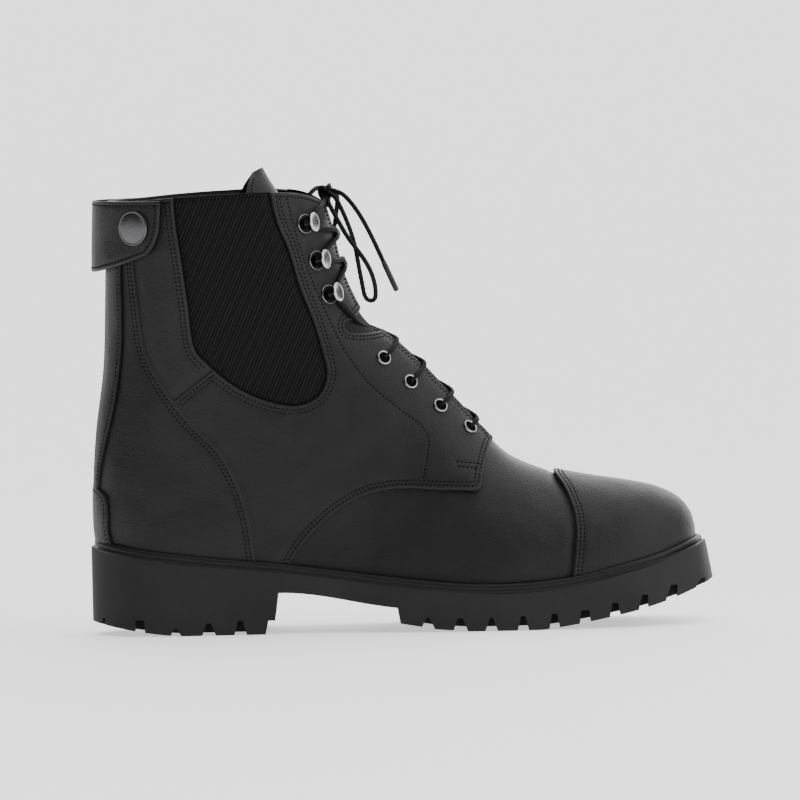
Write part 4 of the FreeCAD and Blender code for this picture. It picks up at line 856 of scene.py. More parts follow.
# Black thread, made darker than the black leather so the stitches read as dark needle holes: its own black
# colour plus painted shade.
THREAD_WITH_HOLE_SHADE = woven("thread", (0.0009, 0.0009, 0.0009), (0.0028, 0.0028, 0.0028), 0.9, 0.0004, 0.8, 0.00006)
NICKEL = metal("nickel", (0.46, 0.46, 0.455), 0.26, depth=0.000004)
EYELET_METAL = metal("eyelet_metal", (0.26, 0.26, 0.26), 0.24, depth=0.000004)
GUNMETAL = metal("gunmetal", (0.02, 0.02, 0.021), 0.38)
SNAP_METAL = metal("snap_metal", (0.095, 0.095, 0.099), 0.26, (10, 200, 200), 0.00001)
STEEL = metal("spring_steel", (0.35, 0.36, 0.38), 0.3, (10, 200, 200))
CORK = plain_stock("cork", (0.18, 0.10, 0.05), (0.40, 0.26, 0.15), 0.9, 500.0)
BOARD = plain_stock("fibre_board", (0.22, 0.18, 0.13), (0.34, 0.28, 0.22), 0.85, 900.0)
BLACK_BOARD = plain_stock("black_board", (0.003, 0.003, 0.003), (0.006, 0.006, 0.006), 0.9, 900.0)
BLACK_PLASTIC = plain_stock("black_plastic", (0.006, 0.006, 0.0062), (0.012, 0.012, 0.0124), 0.35, 700.0,
                            0.00005)

# ---------------------------------------------------------------- the upper's panels
collar_of, sole_of, throat_of, zip_edge_of, heel_of = (
    {side: rule(side) for side in SIDES.values()} for rule in (
        lambda side: level_seam(collar_top, side),
        sole_seam,
        lambda side: strip_seam(side, THROAT_HALF, 0.0, THROAT_FOOT, True),
        lambda side: strip_seam(side, ZIP_HALF, 0.0, HEEL_FOOT, False),
        lambda side: Seam(np.linspace(HEEL_FOOT, HEEL_END, 20), np.full(20, side * math.pi))))


def on_side(side, y):
    return y * side > 0


def settle(piece, slot, *nodes, body="boot"):
    """Puts a finished piece on its body and in place of CAD nodes; slot is not used."""
    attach(piece, body)
    if nodes:
        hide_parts(*nodes)


def add_panel(panel, slot="leather", finish=BLACK_LEATHER):
    """Builds a panel and its threads, and puts them on the boot."""
    settle(panel.build(finish), slot, panel.name)
    threads = stitch(panel.name + "_stitching", panel, panel.stitch_rows(), THREAD_WITH_HOLE_SHADE)
    if threads is not None:
        settle(threads, slot)


def build_side(name, side):
    """The panels of one side, from the counter forward."""
    collar, sole, throat = collar_of[side], sole_of[side], throat_of[side]
    counter, gore, rear = (seam(line, side) for line in (COUNTER_EDGE, GORE_EDGE, REAR_QUARTER_SEAM))
    backstay = seam(BACKSTAY_EDGE, side)
    backstay_top, patch_top = (seam(line, side, STRIP_FACE) for line in (BACKSTAY_EDGE, HEEL_PATCH_EDGE))
    strip_collar = level_seam(collar_top, side, STRIP_FACE)
    strip_zip_edge = strip_seam(side, ZIP_HALF, 0.0, HEEL_FOOT, False, STRIP_FACE)
    rows = (FIRST_ROW, SECOND_ROW)

    def in_counter(x, y, z):
        return (inside(COUNTER_ZONE, x, z) & on_upper(x, z) & on_side(side, y)
                & ((np.abs(y) > ZIP_HALF) | (z < ZIP_FOOT_Z)))

    add_panel(Panel(f"counter_{name}", in_counter, [
        (counter, "over", rows), (collar, "over", ()), (zip_edge_of[side], "plain", ()),
        (heel_of[side], "plain", ()), (sole, "plain", ()), (backstay, "row", (-side * BACKSTAY_ROW,))],
        UPPER_FACE, UPPER_BACK))

    def in_strip(x, y, z):
        return (inside(BACKSTAY_ZONE, x, z) & ~inside(PATCH_ZONE, x, z) & (z < collar_top(x))
                & on_side(side, y) & (np.abs(y) > ZIP_HALF))

    add_panel(Panel(f"backstay_{name}", in_strip, [
        (backstay_top, "over", (STRIP_ROW,)), (strip_zip_edge, "over", (ZIP_ROW,)),
        (strip_collar, "over", ()), (patch_top, "plain", ())],
        STRIP_FACE, STRIP_BACK, pitch=STRIP_PITCH, level=STRIP_FACE))

    def in_gore(x, y, z):
        return inside(GORE_ZONE, x, z) & (z < collar_top(x)) & on_side(side, y)

    gore_panel = Panel(f"gore_{name}", in_gore, [(gore, "under", ()), (collar, "over", (FIRST_ROW,))],
                       GORE_FACE, UPPER_BACK)
    add_panel(gore_panel, "elastic_gore", GORE_CLOTH)
    settle(gore_ribs(name, gore_panel, side), "elastic_gore")

    def in_rear(x, y, z):
        return (inside(REAR_ZONE, x, z) & outside(x, z, COUNTER_ZONE, GORE_ZONE)
                & (z < collar_top(x)) & on_side(side, y))

    add_panel(Panel(f"rear_quarter_{name}", in_rear, [
        (counter, "under", ()), (gore, "over", rows), (rear, "under", ()), (collar, "over", (FIRST_ROW,))],
        UPPER_FACE, UPPER_BACK))

    def in_quarter(x, y, z):
        return (outside(x, z, COUNTER_ZONE, GORE_ZONE, REAR_ZONE, AHEAD_ZONE, NOTCH_ZONE)
                & on_upper(x, z) & on_side(side, y) & (np.abs(y) > THROAT_HALF))

    place, angle, _ = address([QUARTER_EDGE[QUARTER_TIP], FACING_CORNER], side)
    corners = lasted(place, angle)

    def flap_lift(points, angle):
        return sum(lift * np.exp(-(np.linalg.norm(points - corner, axis=1) / reach) ** 2)
                   for corner, (lift, reach) in zip(corners, CORNER_LIFTS))

    add_panel(Panel(f"quarter_{name}", in_quarter, [
        (counter, "under", ()), (gore, "over", rows), (rear, "over", rows), (collar, "over", (FIRST_ROW,)),
        (seam(QUARTER_EDGE, side), "over", rows),
        (throat, "over", THROAT_ROWS), (seam(NOTCH_EDGE, side), "over", THROAT_ROWS), (sole, "plain", ()),
        *((seam(line, side), "row", (0.0,)) for line in (FACING_STITCH, *BAR_TACK))],
        UPPER_FACE, UPPER_BACK, flap_lift))


RIB_PITCH = 1.52
RIB_SLOPE = np.array([0.39, 0.921])
RIB_CENTRE = np.array([-70.0, 160.0])
RIB_SPREAD = 62
RIB_REACH = 70
RIB_STEP = 0.8
RIB_HALF = 0.46
RIB_RISE = 0.5
RIB_SINK = 0.1
RIB_SWELL = (0.62, 0.38)
RIB_CLEAR = 0.7


def gore_ribs(name, panel, side):
    """The raised twill ribs of the elastic, each a slim closed prism laid on the panel."""
    square = np.array([RIB_SLOPE[1], -RIB_SLOPE[0]])
    marks = np.arange(-RIB_REACH, RIB_REACH, RIB_STEP)
    ribs = []
    for shift in np.arange(-RIB_SPREAD, RIB_SPREAD, RIB_PITCH):
        flat = RIB_CENTRE + square * shift + RIB_SLOPE * marks[:, None]
        place, angle, found = address(flat, side, GORE_FACE)
        base = lasted(place, angle)
        good = found & panel.holds(place, angle)
        for edge, *_ in panel.edges:
            good &= distance(base, edge.points) > RIB_CLEAR
        for run in true_runs(good, 3):
            normal = normals(place[run], angle[run])
            line = base[run] + normal * panel.height(place[run], angle[run])[0][:, None]
            sideways = unit(np.cross(normal, np.gradient(line, axis=0))) * RIB_HALF
            wave = np.cos(math.pi * marks[run] / RIB_STEP + shift)
            swell = (RIB_SWELL[0] + RIB_SWELL[1] * wave)[:, None]
            ring = np.stack([line - sideways - normal * RIB_SINK, line + normal * RIB_RISE * swell,
                             line + sideways - normal * RIB_SINK], 1)
            ribs.append((ring, tube_faces(len(run), 3)))
    # The ribs take the lighter copy of the gore cloth, a painted highlight.
    return gathered(f"gore_ribs_{name}", ribs, LIT_RIB_CLOTH)


def build_front_and_heel():
    """The panels that run round both sides: vamp, toe cap and heel patch."""
    def sole_round_front(rise):
        a, b = sole_seam(-1.0, rise), sole_seam(1.0, rise)
        return Seam(np.concatenate([a.place, b.place[::-1]]), np.concatenate([a.angle, b.angle[::-1]]))

    heel_soles = joined(sole_seam(-1.0, STRIP_FACE), sole_seam(1.0, STRIP_FACE))
    toe_seam = seam_round(TOE_CAP_SEAM)

    def in_vamp(x, y, z):
        return inside(VAMP_ZONE, x, z) & (z > sole_top(x))

    add_panel(Panel("vamp", in_vamp, [
        (seam_round(VAMP_REAR_EDGE, 0.0), "plain", ()), (sole_round_front(0.0), "plain", ()),
        (toe_seam, "under", ())], VAMP_FACE, VAMP_BACK, level=0.0))

    def in_cap(x, y, z):
        return inside(TOE_ZONE, x, z) & (z > sole_top(x))

    add_panel(Panel("toe_cap", in_cap, [
        (toe_seam, "over", (FIRST_ROW, SECOND_ROW)), (sole_round_front(UPPER_FACE), "plain", ())],
        CAP_FACE, UPPER_BACK, pitch=CAP_PITCH))

    def in_patch(x, y, z):
        return inside(PATCH_ZONE, x, z) & (z > sole_top(x))

    add_panel(Panel("heel_patch", in_patch, [
        (seam_round(HEEL_PATCH_EDGE, STRIP_FACE), "over", (PATCH_ROW,)), (heel_soles, "plain", ())],
        STRIP_FACE, STRIP_BACK, round_back=True, pitch=STRIP_PITCH, level=STRIP_FACE))


# ---------------------------------------------------------------- rear tab
TAB_LATERAL_EDGE = [(-110.8, 216), (-110.8, 203.2), (-112.0, 193.5), (-116.6, 184.6), (-124.4, 180.9),
                    (-136.6, 176.3), (-160, 167.5)]
TAB_MEDIAL_EDGE = [(-160, 167.5), (-136.6, 176.3), (-124.4, 178.0), (-104, 178.6), (-97.0, 180.6),
                   (-94.8, 187), (-94.8, 216)]
TAB_TOP = 209.2
TAB_THICK = 1.8
TAB_SIDE_RISE = 4.0
TAB_BACK_RISE = 8.3
TAB_ROOT_RISE = 2.1
TAB_LEVEL = 5.6
TAB_ROOT_X = -112.0
TAB_ROOT_RUN = 9.0
TAB_LATERAL_ZONE = zone([TAB_LATERAL_EDGE], [(-160, 216)])
TAB_MEDIAL_ZONE = zone([TAB_MEDIAL_EDGE], [(-160, 216)])


def tab_rise(points, angle):
    """Height of the tab's back over the surface: highest over the zip, lowest at its root."""
    back = np.maximum(-np.cos(angle), 0) ** 4
    root = np.clip((points[:, 0] - TAB_ROOT_X) / TAB_ROOT_RUN, 0, 1) * (points[:, 1] > 0)
    root = root * root * (3 - 2 * root)
    side = TAB_SIDE_RISE + (TAB_ROOT_RISE - TAB_SIDE_RISE) * root
    return side + (TAB_BACK_RISE - TAB_SIDE_RISE) * back


def build_tab():
    """The rear tab, standing off the shaft least at its sewn root."""
    def in_tab(x, y, z):
        return (z < TAB_TOP) & np.where(y < 0, inside(TAB_LATERAL_ZONE, x, z), inside(TAB_MEDIAL_ZONE, x, z))

    edge = joined(seam(TAB_LATERAL_EDGE, -1.0, TAB_LEVEL), seam(TAB_MEDIAL_EDGE, 1.0, TAB_LEVEL))
    flat_top = (lambda x: np.full_like(x, TAB_TOP))
    top = joined(level_seam(flat_top, -1.0, TAB_LEVEL), level_seam(flat_top, 1.0, TAB_LEVEL))
    panel = Panel("rear_tab", in_tab, [(edge, "over", (TAB_ROW,)), (top, "over", (TAB_ROW,))],
                  TAB_THICK, 0.0, tab_rise, round_back=True, pitch=TAB_PITCH, level=TAB_LEVEL)
    piece = panel.build(BLACK_LEATHER)
    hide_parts("rear_tab", "tab_root")
    threads = stitch("rear_tab_stitching", panel, panel.stitch_rows(), THREAD_WITH_HOLE_SHADE)
    for soft in (piece, threads):
        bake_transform(soft)


# ---------------------------------------------------------------- turned hardware
AXIS_RADIUS = 0.02


def spot(x, z, side, offset, seen_at=0.0):
    """A point offset over the place seen at (x, z), and the surface's outward direction there."""
    place, angle, _ = address([(x, z)], side, seen_at)
    return raised(place, angle, offset)[0], normals(place, angle)[0]


def turned(profile, origin, axis, steps=40, stretch=(1.0, 1.0)):
    """Points and faces of a closed (r, h) profile turned about an axis."""
    axis = unit(np.asarray(axis, float))
    up = unit(np.cross(axis, np.cross((0.0, 0.0, 1.0), axis)))
    across = np.cross(up, axis)
    points = []
    for k in range(steps):
        turn = 2 * math.pi * k / steps
        radial = up * math.cos(turn) * stretch[1] + across * math.sin(turn) * stretch[0]
        points += [origin + radial * r + axis * h for r, h in profile]
    n = len(profile)
    faces = []
    for j in range(n):
        j_next = (j + 1) % n
        ring, ring_next = ([k * n + m for k in range(steps)] for m in (j, j_next))
        if max(profile[j][0], profile[j_next][0]) <= AXIS_RADIUS:
            faces += [tuple(ring), tuple(ring_next[::-1])]
            continue
        for k in range(steps):
            after = (k + 1) % steps
            faces.append((ring[k], ring[after], ring_next[after], ring_next[k]))
    return np.array(points), faces


def rounded_profile(points, rounds=2):
    """A closed profile with its corners cut twice, which rounds them, but not on the axis."""
    p = [np.array(point, float) for point in points]
    for _ in range(rounds):
        cut = []
        for before, here, after in zip(p[-1:] + p[:-1], p, p[1:] + p[:1]):
            on_axis = here[0] <= AXIS_RADIUS
            cut += [here] if on_axis else [0.22 * before + 0.78 * here, 0.78 * here + 0.22 * after]
        p = cut
    return np.array(p)


EYELET_RING = [(2.6, -1.6), (2.6, 2.2), (2.75, 2.75), (3.15, 2.95), (3.6, 2.75), (3.8, 2.2), (3.7, 1.7),
               (2.9, 1.7), (2.7, -1.6)]
# A flat disc filling each eyelet's hole at the leather's face, in near-black cloth: painted shade.
EYELET_SHADE_DISC = [(0.01, 2.08), (2.75, 2.08), (2.75, 1.75), (0.01, 1.75)]
HOOK_SPOTS = [(-41.0, 196.6), (-36.0, 178.8), (-30.3, 162.3)]
HOOK_BASE = [(0.01, 1.7), (4.3, 1.7), (4.3, 2.5), (3.6, 2.6), (3.2, 2.2), (0.01, 2.2)]
HOOK_RIM = [(4.3, 1.8), (4.65, 1.8), (4.8, 2.15), (4.65, 2.5), (4.35, 2.5), (4.25, 2.2)]
HOOK_STEM = [(0.01, 0.2), (2.1, 0.2), (1.7, 0.9), (1.35, 1.8), (1.35, 5.0), (0.01, 5.0)]
HOOK_HEAD = [(0.01, 4.5), (2.6, 4.6), (4.1, 5.0), (4.55, 5.5), (4.3, 5.95), (3.2, 6.3), (1.6, 6.5),
             (0.01, 6.55)]
HOOK_HEAD_STRETCH = (0.86, 1.06)
HOOK_LEAN = (0.30, 0.12, 0.06)
SNAP_SINK = 0.3
SNAP_DOME = [(0.01, 0), (8.2, 0), (8.5, 0.35), (8.4, 0.9), (7.9, 1.15), (7.4, 1.0), (7.1, 1.1), (4.5, 1.45),
             (2.0, 1.6), (0.01, 1.65)]
SNAP_STEPS = 64


def build_hardware():
    """Eyelets, lace hooks and the tab's snap."""
    for name, side in SIDES.items():
        frames = [spot(x, z, side, 0.0, UPPER_FACE) for x, z in EYELET_PLACES]
        rings = gathered(f"eyelet_rings_{name}", [turned(rounded_profile(EYELET_RING), *f) for f in frames],
                         EYELET_METAL)
        # The near-black discs in the eyelet holes are painted shade.
        shade_discs = gathered(f"eyelet_wells_{name}", [turned(EYELET_SHADE_DISC, *f) for f in frames], SHADOW_CLOTH)
        settle(shade_discs, "lining_leather")
        settle(rings, "nickel_ring", f"eyelets_{name}")
        bases, rims, heads = [], [], []
        for x, z in HOOK_SPOTS:
            origin, axis = spot(x, z, side, 0.0, UPPER_FACE)
            lean = unit(axis + np.array(HOOK_LEAN) * (1, -side, 1))
            top = origin + axis * UPPER_FACE
            bases.append(turned(rounded_profile(HOOK_BASE, 1), origin, axis))
            bases.append(turned(rounded_profile(HOOK_STEM, 1), top, lean))
            rims.append(turned(rounded_profile(HOOK_RIM), origin, axis))
            heads.append(turned(rounded_profile(HOOK_HEAD), top, lean, stretch=HOOK_HEAD_STRETCH))
        settle(gathered(f"hook_bases_{name}", bases, GUNMETAL), "gunmetal", f"hooks_{name}")
        settle(gathered(f"hook_rims_{name}", rims, EYELET_METAL), "gunmetal")
        settle(gathered(f"hook_heads_{name}", heads, NICKEL), "nickel_ring")
    origin, axis = spot(*SNAP_PLACE, -1.0, 0.0)
    place, angle, _ = address([SNAP_PLACE], -1.0)
    face = float(tab_rise(lasted(place, angle), angle)[0]) + TAB_THICK - SNAP_SINK
    dome = [(r, face + h) for r, h in SNAP_DOME]
    cap = gathered("snap_dome", [turned(rounded_profile(dome), origin, axis, SNAP_STEPS)], SNAP_METAL)
    settle(cap, "snap_metal", "snap_cap", body="tab")


# ---------------------------------------------------------------- laces
LACE_RADIUS = 1.15
AGLET_LENGTH = 15.0
KNOT_CENTRE = np.array([-31.2, 0.0, 209.6])

# The bow's routes, in metres: each starts at the knot.
LOOP_LATERAL_M = [(-0.0295, -0.0025, 0.2105), (-0.0268, -0.0060, 0.2096), (-0.0229, -0.0100, 0.2015),
                  (-0.0194, -0.0138, 0.1926), (-0.0172, -0.0162, 0.1844), (-0.0159, -0.0178, 0.1756),
                  (-0.0144, -0.0189, 0.1670), (-0.0130, -0.0196, 0.1589), (-0.0080, -0.0206, 0.1585),
                  (-0.0079, -0.0209, 0.1656), (-0.0100, -0.0212, 0.1730), (-0.0134, -0.0210, 0.1792),
                  (-0.0176, -0.0196, 0.1849), (-0.0216, -0.0166, 0.1904), (-0.0254, -0.0124, 0.1974),
                  (-0.0292, -0.0068, 0.2046), (-0.0310, -0.0025, 0.2085)]
END_LATERAL_M = [(-0.0295, -0.0010, 0.2118), (-0.0245, -0.0040, 0.2116), (-0.0190, -0.0075, 0.2062),
                 (-0.0140, -0.0100, 0.1986), (-0.0096, -0.0120, 0.1900), (-0.0056, -0.0132, 0.1810),
                 (-0.0036, -0.0138, 0.1764)]
LOOP_MEDIAL_M = [(-0.0305, 0.0025, 0.2105), (-0.0290, 0.0085, 0.2145), (-0.0298, 0.0190, 0.2130),
                 (-0.0324, 0.0300, 0.2060), (-0.0346, 0.0370, 0.1960), (-0.0372, 0.0410, 0.1845),
                 (-0.0394, 0.0426, 0.1735), (-0.0410, 0.0432, 0.1646), (-0.0462, 0.0444, 0.1649),
                 (-0.0472, 0.0452, 0.1740), (-0.0470, 0.0464, 0.1860), (-0.0454, 0.0444, 0.1975),
                 (-0.0408, 0.0365, 0.2075), (-0.0354, 0.0230, 0.2130), (-0.0326, 0.0100, 0.2120),
                 (-0.0315, 0.0025, 0.2090)]
END_MEDIAL_M = [(-0.0290, 0.0010, 0.2118), (-0.0262, 0.0070, 0.2118), (-0.0254, 0.0140, 0.2074),
                (-0.0262, 0.0210, 0.1998), (-0.0278, 0.0270, 0.1910), (-0.0294, 0.0310, 0.1824),
                (-0.0300, 0.0324, 0.1780)]


def centreline(route_m):
    """Points along the route's smooth NURBS line, in metres."""
    curve = bpy.data.curves.new("route", "CURVE")
    curve.dimensions = "3D"
    spline = curve.splines.new("NURBS")
    spline.points.add(len(route_m) - 1)
    for point, place in zip(spline.points, route_m):
        point.co = (*place, 1.0)
    spline.order_u = 3
    spline.use_endpoint_u = True
    spline.resolution_u = 8
    holder = add_object("route", curve)
    mesh = bpy.data.meshes.new_from_object(holder)
    line = np.array([tuple(v.co) for v in mesh.vertices])
    bpy.data.objects.remove(holder)
    bpy.data.curves.remove(curve)
    bpy.data.meshes.remove(mesh)
    return line


BRAID_SIDES = 14
BRAID_STRANDS = 4
BRAID_TWIST = 1.15
BRAID_DEPTH = 0.07
BRAID_STEP = 0.45


def braided(line_m, radius=LACE_RADIUS):
    """A tube round a line with the crossing strands of a braided lace, in millimetres."""
    line = line_m / MM
    length = lengths(line)
    marks = np.linspace(0, length[-1], max(4, int(length[-1] / BRAID_STEP)))
    line = resampled(marks, length, line)
    tangent = unit(np.gradient(line, axis=0))
    normal = np.zeros_like(line)
    normal[0] = unit(np.cross(tangent[0], (0.31, 0.95, 0.1)))
    for k in range(1, len(line)):
        normal[k] = unit(normal[k - 1] - tangent[k] * (normal[k - 1] @ tangent[k]))
    across = np.cross(tangent, normal)
    turns = np.arange(BRAID_SIDES) * 2 * math.pi / BRAID_SIDES
    points = []
    for turn in turns:
        strand, twist = BRAID_STRANDS * turn, BRAID_TWIST * marks * 2
        weave = np.maximum(np.cos(strand + twist), np.cos(strand - twist))
        size = radius * (1 - BRAID_DEPTH + BRAID_DEPTH * weave)[:, None]
        points.append(line + (normal * math.cos(turn) + across * math.sin(turn)) * size)
    return np.stack(points, 1), tube_faces(len(line), BRAID_SIDES)


LACE_REST = UPPER_FACE + 1.35
EDGE_REST = UPPER_FACE + 1.3
EYELET_REST = UPPER_FACE + 1.9
# How far the two cords of a crossing stand apart where they meet, on each side, and where.
CROSSING_LIFTS = ((-1.0, 0.9), (1.0, -0.5))
CROSSING_SHARE = 0.25
TOP_LIFTS = ((-1.0, 0.6), (1.0, -0.4))
TOP_SHARE = 0.35
LIFT_LOW = np.array([0.7, 0, 0.7])
LIFT_TOP = np.array([0.7, 0, 0.5])
LIFT_HOOKS = np.array([1.0, 0, 0.3])
UNDER_EDGE = -3.0
UNDER_EYELET = -4.4
INTO_EYELET = -1.7
UNDER_NOTCH = -0.6
# Side-view offsets from an eyelet: to its cord's bend and to the facing's edge, over or under.
BEND_OFFSET = (1.4, 1.3)
OVER_OFFSET = (5.2, 5.0)
UNDER_OFFSET = (5.2, 4.4)
# Where the top eyelets' cords pass in under the notch, and come up again.
NOTCH_DIVE = (-15.5, 147.2)
NOTCH_EXIT = (-20.6, 151.6)
KNOT_ENTRY = (-31.5, -3.0, 207.5)
# Side-view offsets of the cords from the hooks and from the lumps.
HOOK_BELOW = (3.2, -3.2)
HOOK_RISE = (2.0, 3.2)
HOOK_FALL = (2.6, -2.6)
TOP_RISE = ((1.6, 3.2), (6.4, 7.4))
LUMP_BEFORE = (-2.6, -1.6)
LUMP_AFTER = (-2.6, 0.4)
# Where the two cords between a pair of hooks bend over the facing's edge, and half their gap.
HOOK_LUMPS = [(-25.7, 191.1), (-21.6, 176.5)]
LUMP_HALF = np.array([-0.42, 1.39])


def edge_point(place, side, rise):
    """The raised point of the facing's front edge nearest to a side-view place."""
    edge = throat_of[side]
    points = raised(edge.place, edge.angle, rise)
    return points[np.argmin(np.hypot(*(points[:, [0, 2]] - place).T))]


def on_facing(start, end, side):
    """Three points over the facing between two side-view places."""
    flat = np.stack([start, (start + end) / 2, end])
    place, angle, _ = address(flat, side, UPPER_FACE)
    return list(raised(place, angle, LACE_REST))


def out_of(eyelet, side):
    """A cord's first points: out of an eyelet and over the facing's edge."""
    return [spot(*eyelet, side, 0.2, UPPER_FACE)[0],
            spot(*(eyelet + BEND_OFFSET), side, EYELET_REST, UPPER_FACE)[0],
            edge_point(eyelet + OVER_OFFSET, side, EDGE_REST)]


def crossing(low, high, side, lift):
    """One lace run: out of an eyelet, over the facing edge, across and up into the next."""
    start = out_of(low, side)
    edge = edge_point(high + UNDER_OFFSET, -side, UNDER_EDGE)
    over = start[-1] + (edge - start[-1]) * CROSSING_SHARE + LIFT_LOW * lift
    return [*start, over, edge, spot(*high, -side, UNDER_EYELET)[0], spot(*high, -side, INTO_EYELET)[0]]


def lace_runs():
    """The centre lines of all the lacing below the bow."""
    runs = []
    eyelets, hooks = np.array(EYELET_PLACES), np.array(HOOK_SPOTS)
    for low, high in zip(eyelets[::-1], eyelets[-2::-1]):
        runs += [crossing(low, high, side, lift) for side, lift in CROSSING_LIFTS]
    for side, lift in TOP_LIFTS:
        start = out_of(eyelets[0], side)
        dive = spot(*NOTCH_DIVE, -side, UNDER_NOTCH)[0]
        over = start[-1] + (dive - start[-1]) * TOP_SHARE + LIFT_TOP * lift
        runs.append([*start, over, dive, *on_facing(np.array(NOTCH_EXIT), hooks[2] + HOOK_BELOW, -side)])
        for k in (2, 1):
            low, high = HOOK_LUMPS[k - 1] - LUMP_HALF, HOOK_LUMPS[k - 1] + LUMP_HALF
            front, finish = edge_point(low, -side, EDGE_REST), edge_point(high, side, EDGE_REST)
            over = (front + finish) * 0.5 + LIFT_HOOKS * lift
            runs.append([*on_facing(hooks[k] + HOOK_RISE, low + LUMP_BEFORE, -side), front, over, finish,
                         *on_facing(high + LUMP_AFTER, hooks[k - 1] + HOOK_FALL, side)])
            side = -side
        rise = on_facing(hooks[0] + TOP_RISE[0], hooks[0] + TOP_RISE[1], -side)
        runs.append([*rise, np.array(KNOT_ENTRY) * (1, side, 1)])
    return runs


KNOT_SIZE = (0.93, 1.35, 1.725)
KNOT_CORD = 1.1
AGLET_SETBACK = 0.8
AGLET_PROFILE = [(0.01, 0), (1.2, 0), (1.36, 0.5), (1.25, 1.0), (1.38, 1.5), (1.36, AGLET_LENGTH - 0.6),
                 (1.1, AGLET_LENGTH + 0.6), (0.01, AGLET_LENGTH + 0.8)]
AGLET_STEPS = 20


def build_laces():
    """The lacing, the knot, and the bow's two loops and two tipped ends."""
    tubes = [braided(centreline(np.array(run) * MM)) for run in lace_runs()]
    settle(gathered("lacing", tubes, LACE_CORD), "lace_cord", "lace")
    turn = np.linspace(0, 2 * math.pi, 90)
    trefoil = np.stack([np.sin(turn) + 2 * np.sin(2 * turn), -np.sin(3 * turn),
                        np.cos(turn) - 2 * np.cos(2 * turn)], 1) * KNOT_SIZE
    knot = [braided((KNOT_CENTRE + trefoil) * MM, LACE_RADIUS * KNOT_CORD)]
    settle(gathered("bow_knot", knot, LACE_CORD), "lace_cord", "lace_knot")
    for name, route, loop in (("lace_loop_lateral", LOOP_LATERAL_M, True),
                              ("lace_loop_medial", LOOP_MEDIAL_M, True),
                              ("lace_end_lateral", END_LATERAL_M, False),
                              ("lace_end_medial", END_MEDIAL_M, False)):
        line = centreline(route)
        cord = gathered(name + "_cord", [braided(line)], LACE_CORD)
        settle(cord, "lace_cord", name)
        tips = []
        if not loop:
            side = name.rsplit("_", 1)[1]
            direction = unit(line[-1] - line[-2])
            start = line[-1] / MM - direction * AGLET_SETBACK
            aglet = turned(rounded_profile(AGLET_PROFILE), start, direction, AGLET_STEPS)
            tips.append(gathered(f"aglet_tip_{side}", [aglet], BLACK_PLASTIC))
            settle(tips[0], "aglet_plastic", f"aglet_{side}")


# ---------------------------------------------------------------- tongue
TONGUE_ROWS = np.array([
    (28.0, 101.0, 21.0, 13.0), (18.0, 113.5, 23.0, 15.0), (5.0, 126.0, 24.0, 16.0), (-7.0, 135.5, 25.0, 16.5),
    (-20.0, 148.0, 26.0, 16.5), (-32.0, 168.0, 27.0, 17.0), (-42.0, 189.0, 28.0, 18.0),
    (-53.0, 209.0, 27.5, 18.5), (-58.5, 218.0, 20.0, 11.0), (-61.5, 223.6, 9.0, 2.6)])
TONGUE_THICK = 2.6
TONGUE_LEAN = 0.38
TONGUE_STITCH = 0.9
TONGUE_PUFF = 1.1
TONGUE_STEP = 2.2
FACE_PUFF = 0.25
PUFF_ROWS = 4
SHEET_COLUMNS = 31
TONGUE_TOP_Z = 185.0
TONGUE_TOP_RUN = 24.0
SEWN_ROWS = slice(2, -2)


def closed_sheet(name, outer, inner, finish):
    """A closed piece between two grids of points with the same layout."""
    count, width = outer.shape[:2]
    points = np.concatenate([outer.reshape(-1, 3), inner.reshape(-1, 3)])
    faces = []
    for i in range(count - 1):
        for j in range(width - 1):
            a = i * width + j
            faces.append((a, a + 1, a + width + 1, a + width))
            faces.append(tuple(k + count * width for k in (a, a + width, a + width + 1, a + 1)))
    loop = ([(0, j) for j in range(width)] + [(i, width - 1) for i in range(1, count)]
            + [(count - 1, j) for j in range(width - 2, -1, -1)] + [(i, 0) for i in range(count - 2, 0, -1)])
    ids = [i * width + j for i, j in loop]
    rim = [(b, a, a + count * width, b + count * width) for a, b in zip(ids, ids[1:] + ids[:1])]
    return mesh_object(name, points, faces + rim, finish)


def tongue_threads(outer, shares):
    """A stitch row along each side of the tongue."""
    starts, ends, ups = [], [], []
    for share in (-TONGUE_STITCH, TONGUE_STITCH):
        j = np.searchsorted(shares, share)
        part = (share - shares[j - 1]) / (shares[j] - shares[j - 1])
        before, after = outer[SEWN_ROWS, j - 1], outer[SEWN_ROWS, j]
        line = before * (1 - part) + after * part
        normal = unit(np.cross(np.gradient(line, axis=0), after - before))
        normal *= np.where(normal[:, :1] + normal[:, 2:] < 0, -1, 1)
        length, marks = evenly(line, STITCH_PITCH)
        starts.append(resampled(marks - STITCH_LENGTH / 2, length, line))
        ends.append(resampled(marks + STITCH_LENGTH / 2, length, line))
        ups.append(unit(resampled(marks, length, normal)))
    return thread_mesh("tongue_stitching", *(np.concatenate(group) for group in (starts, ends, ups)), THREAD_WITH_HOLE_SHADE)


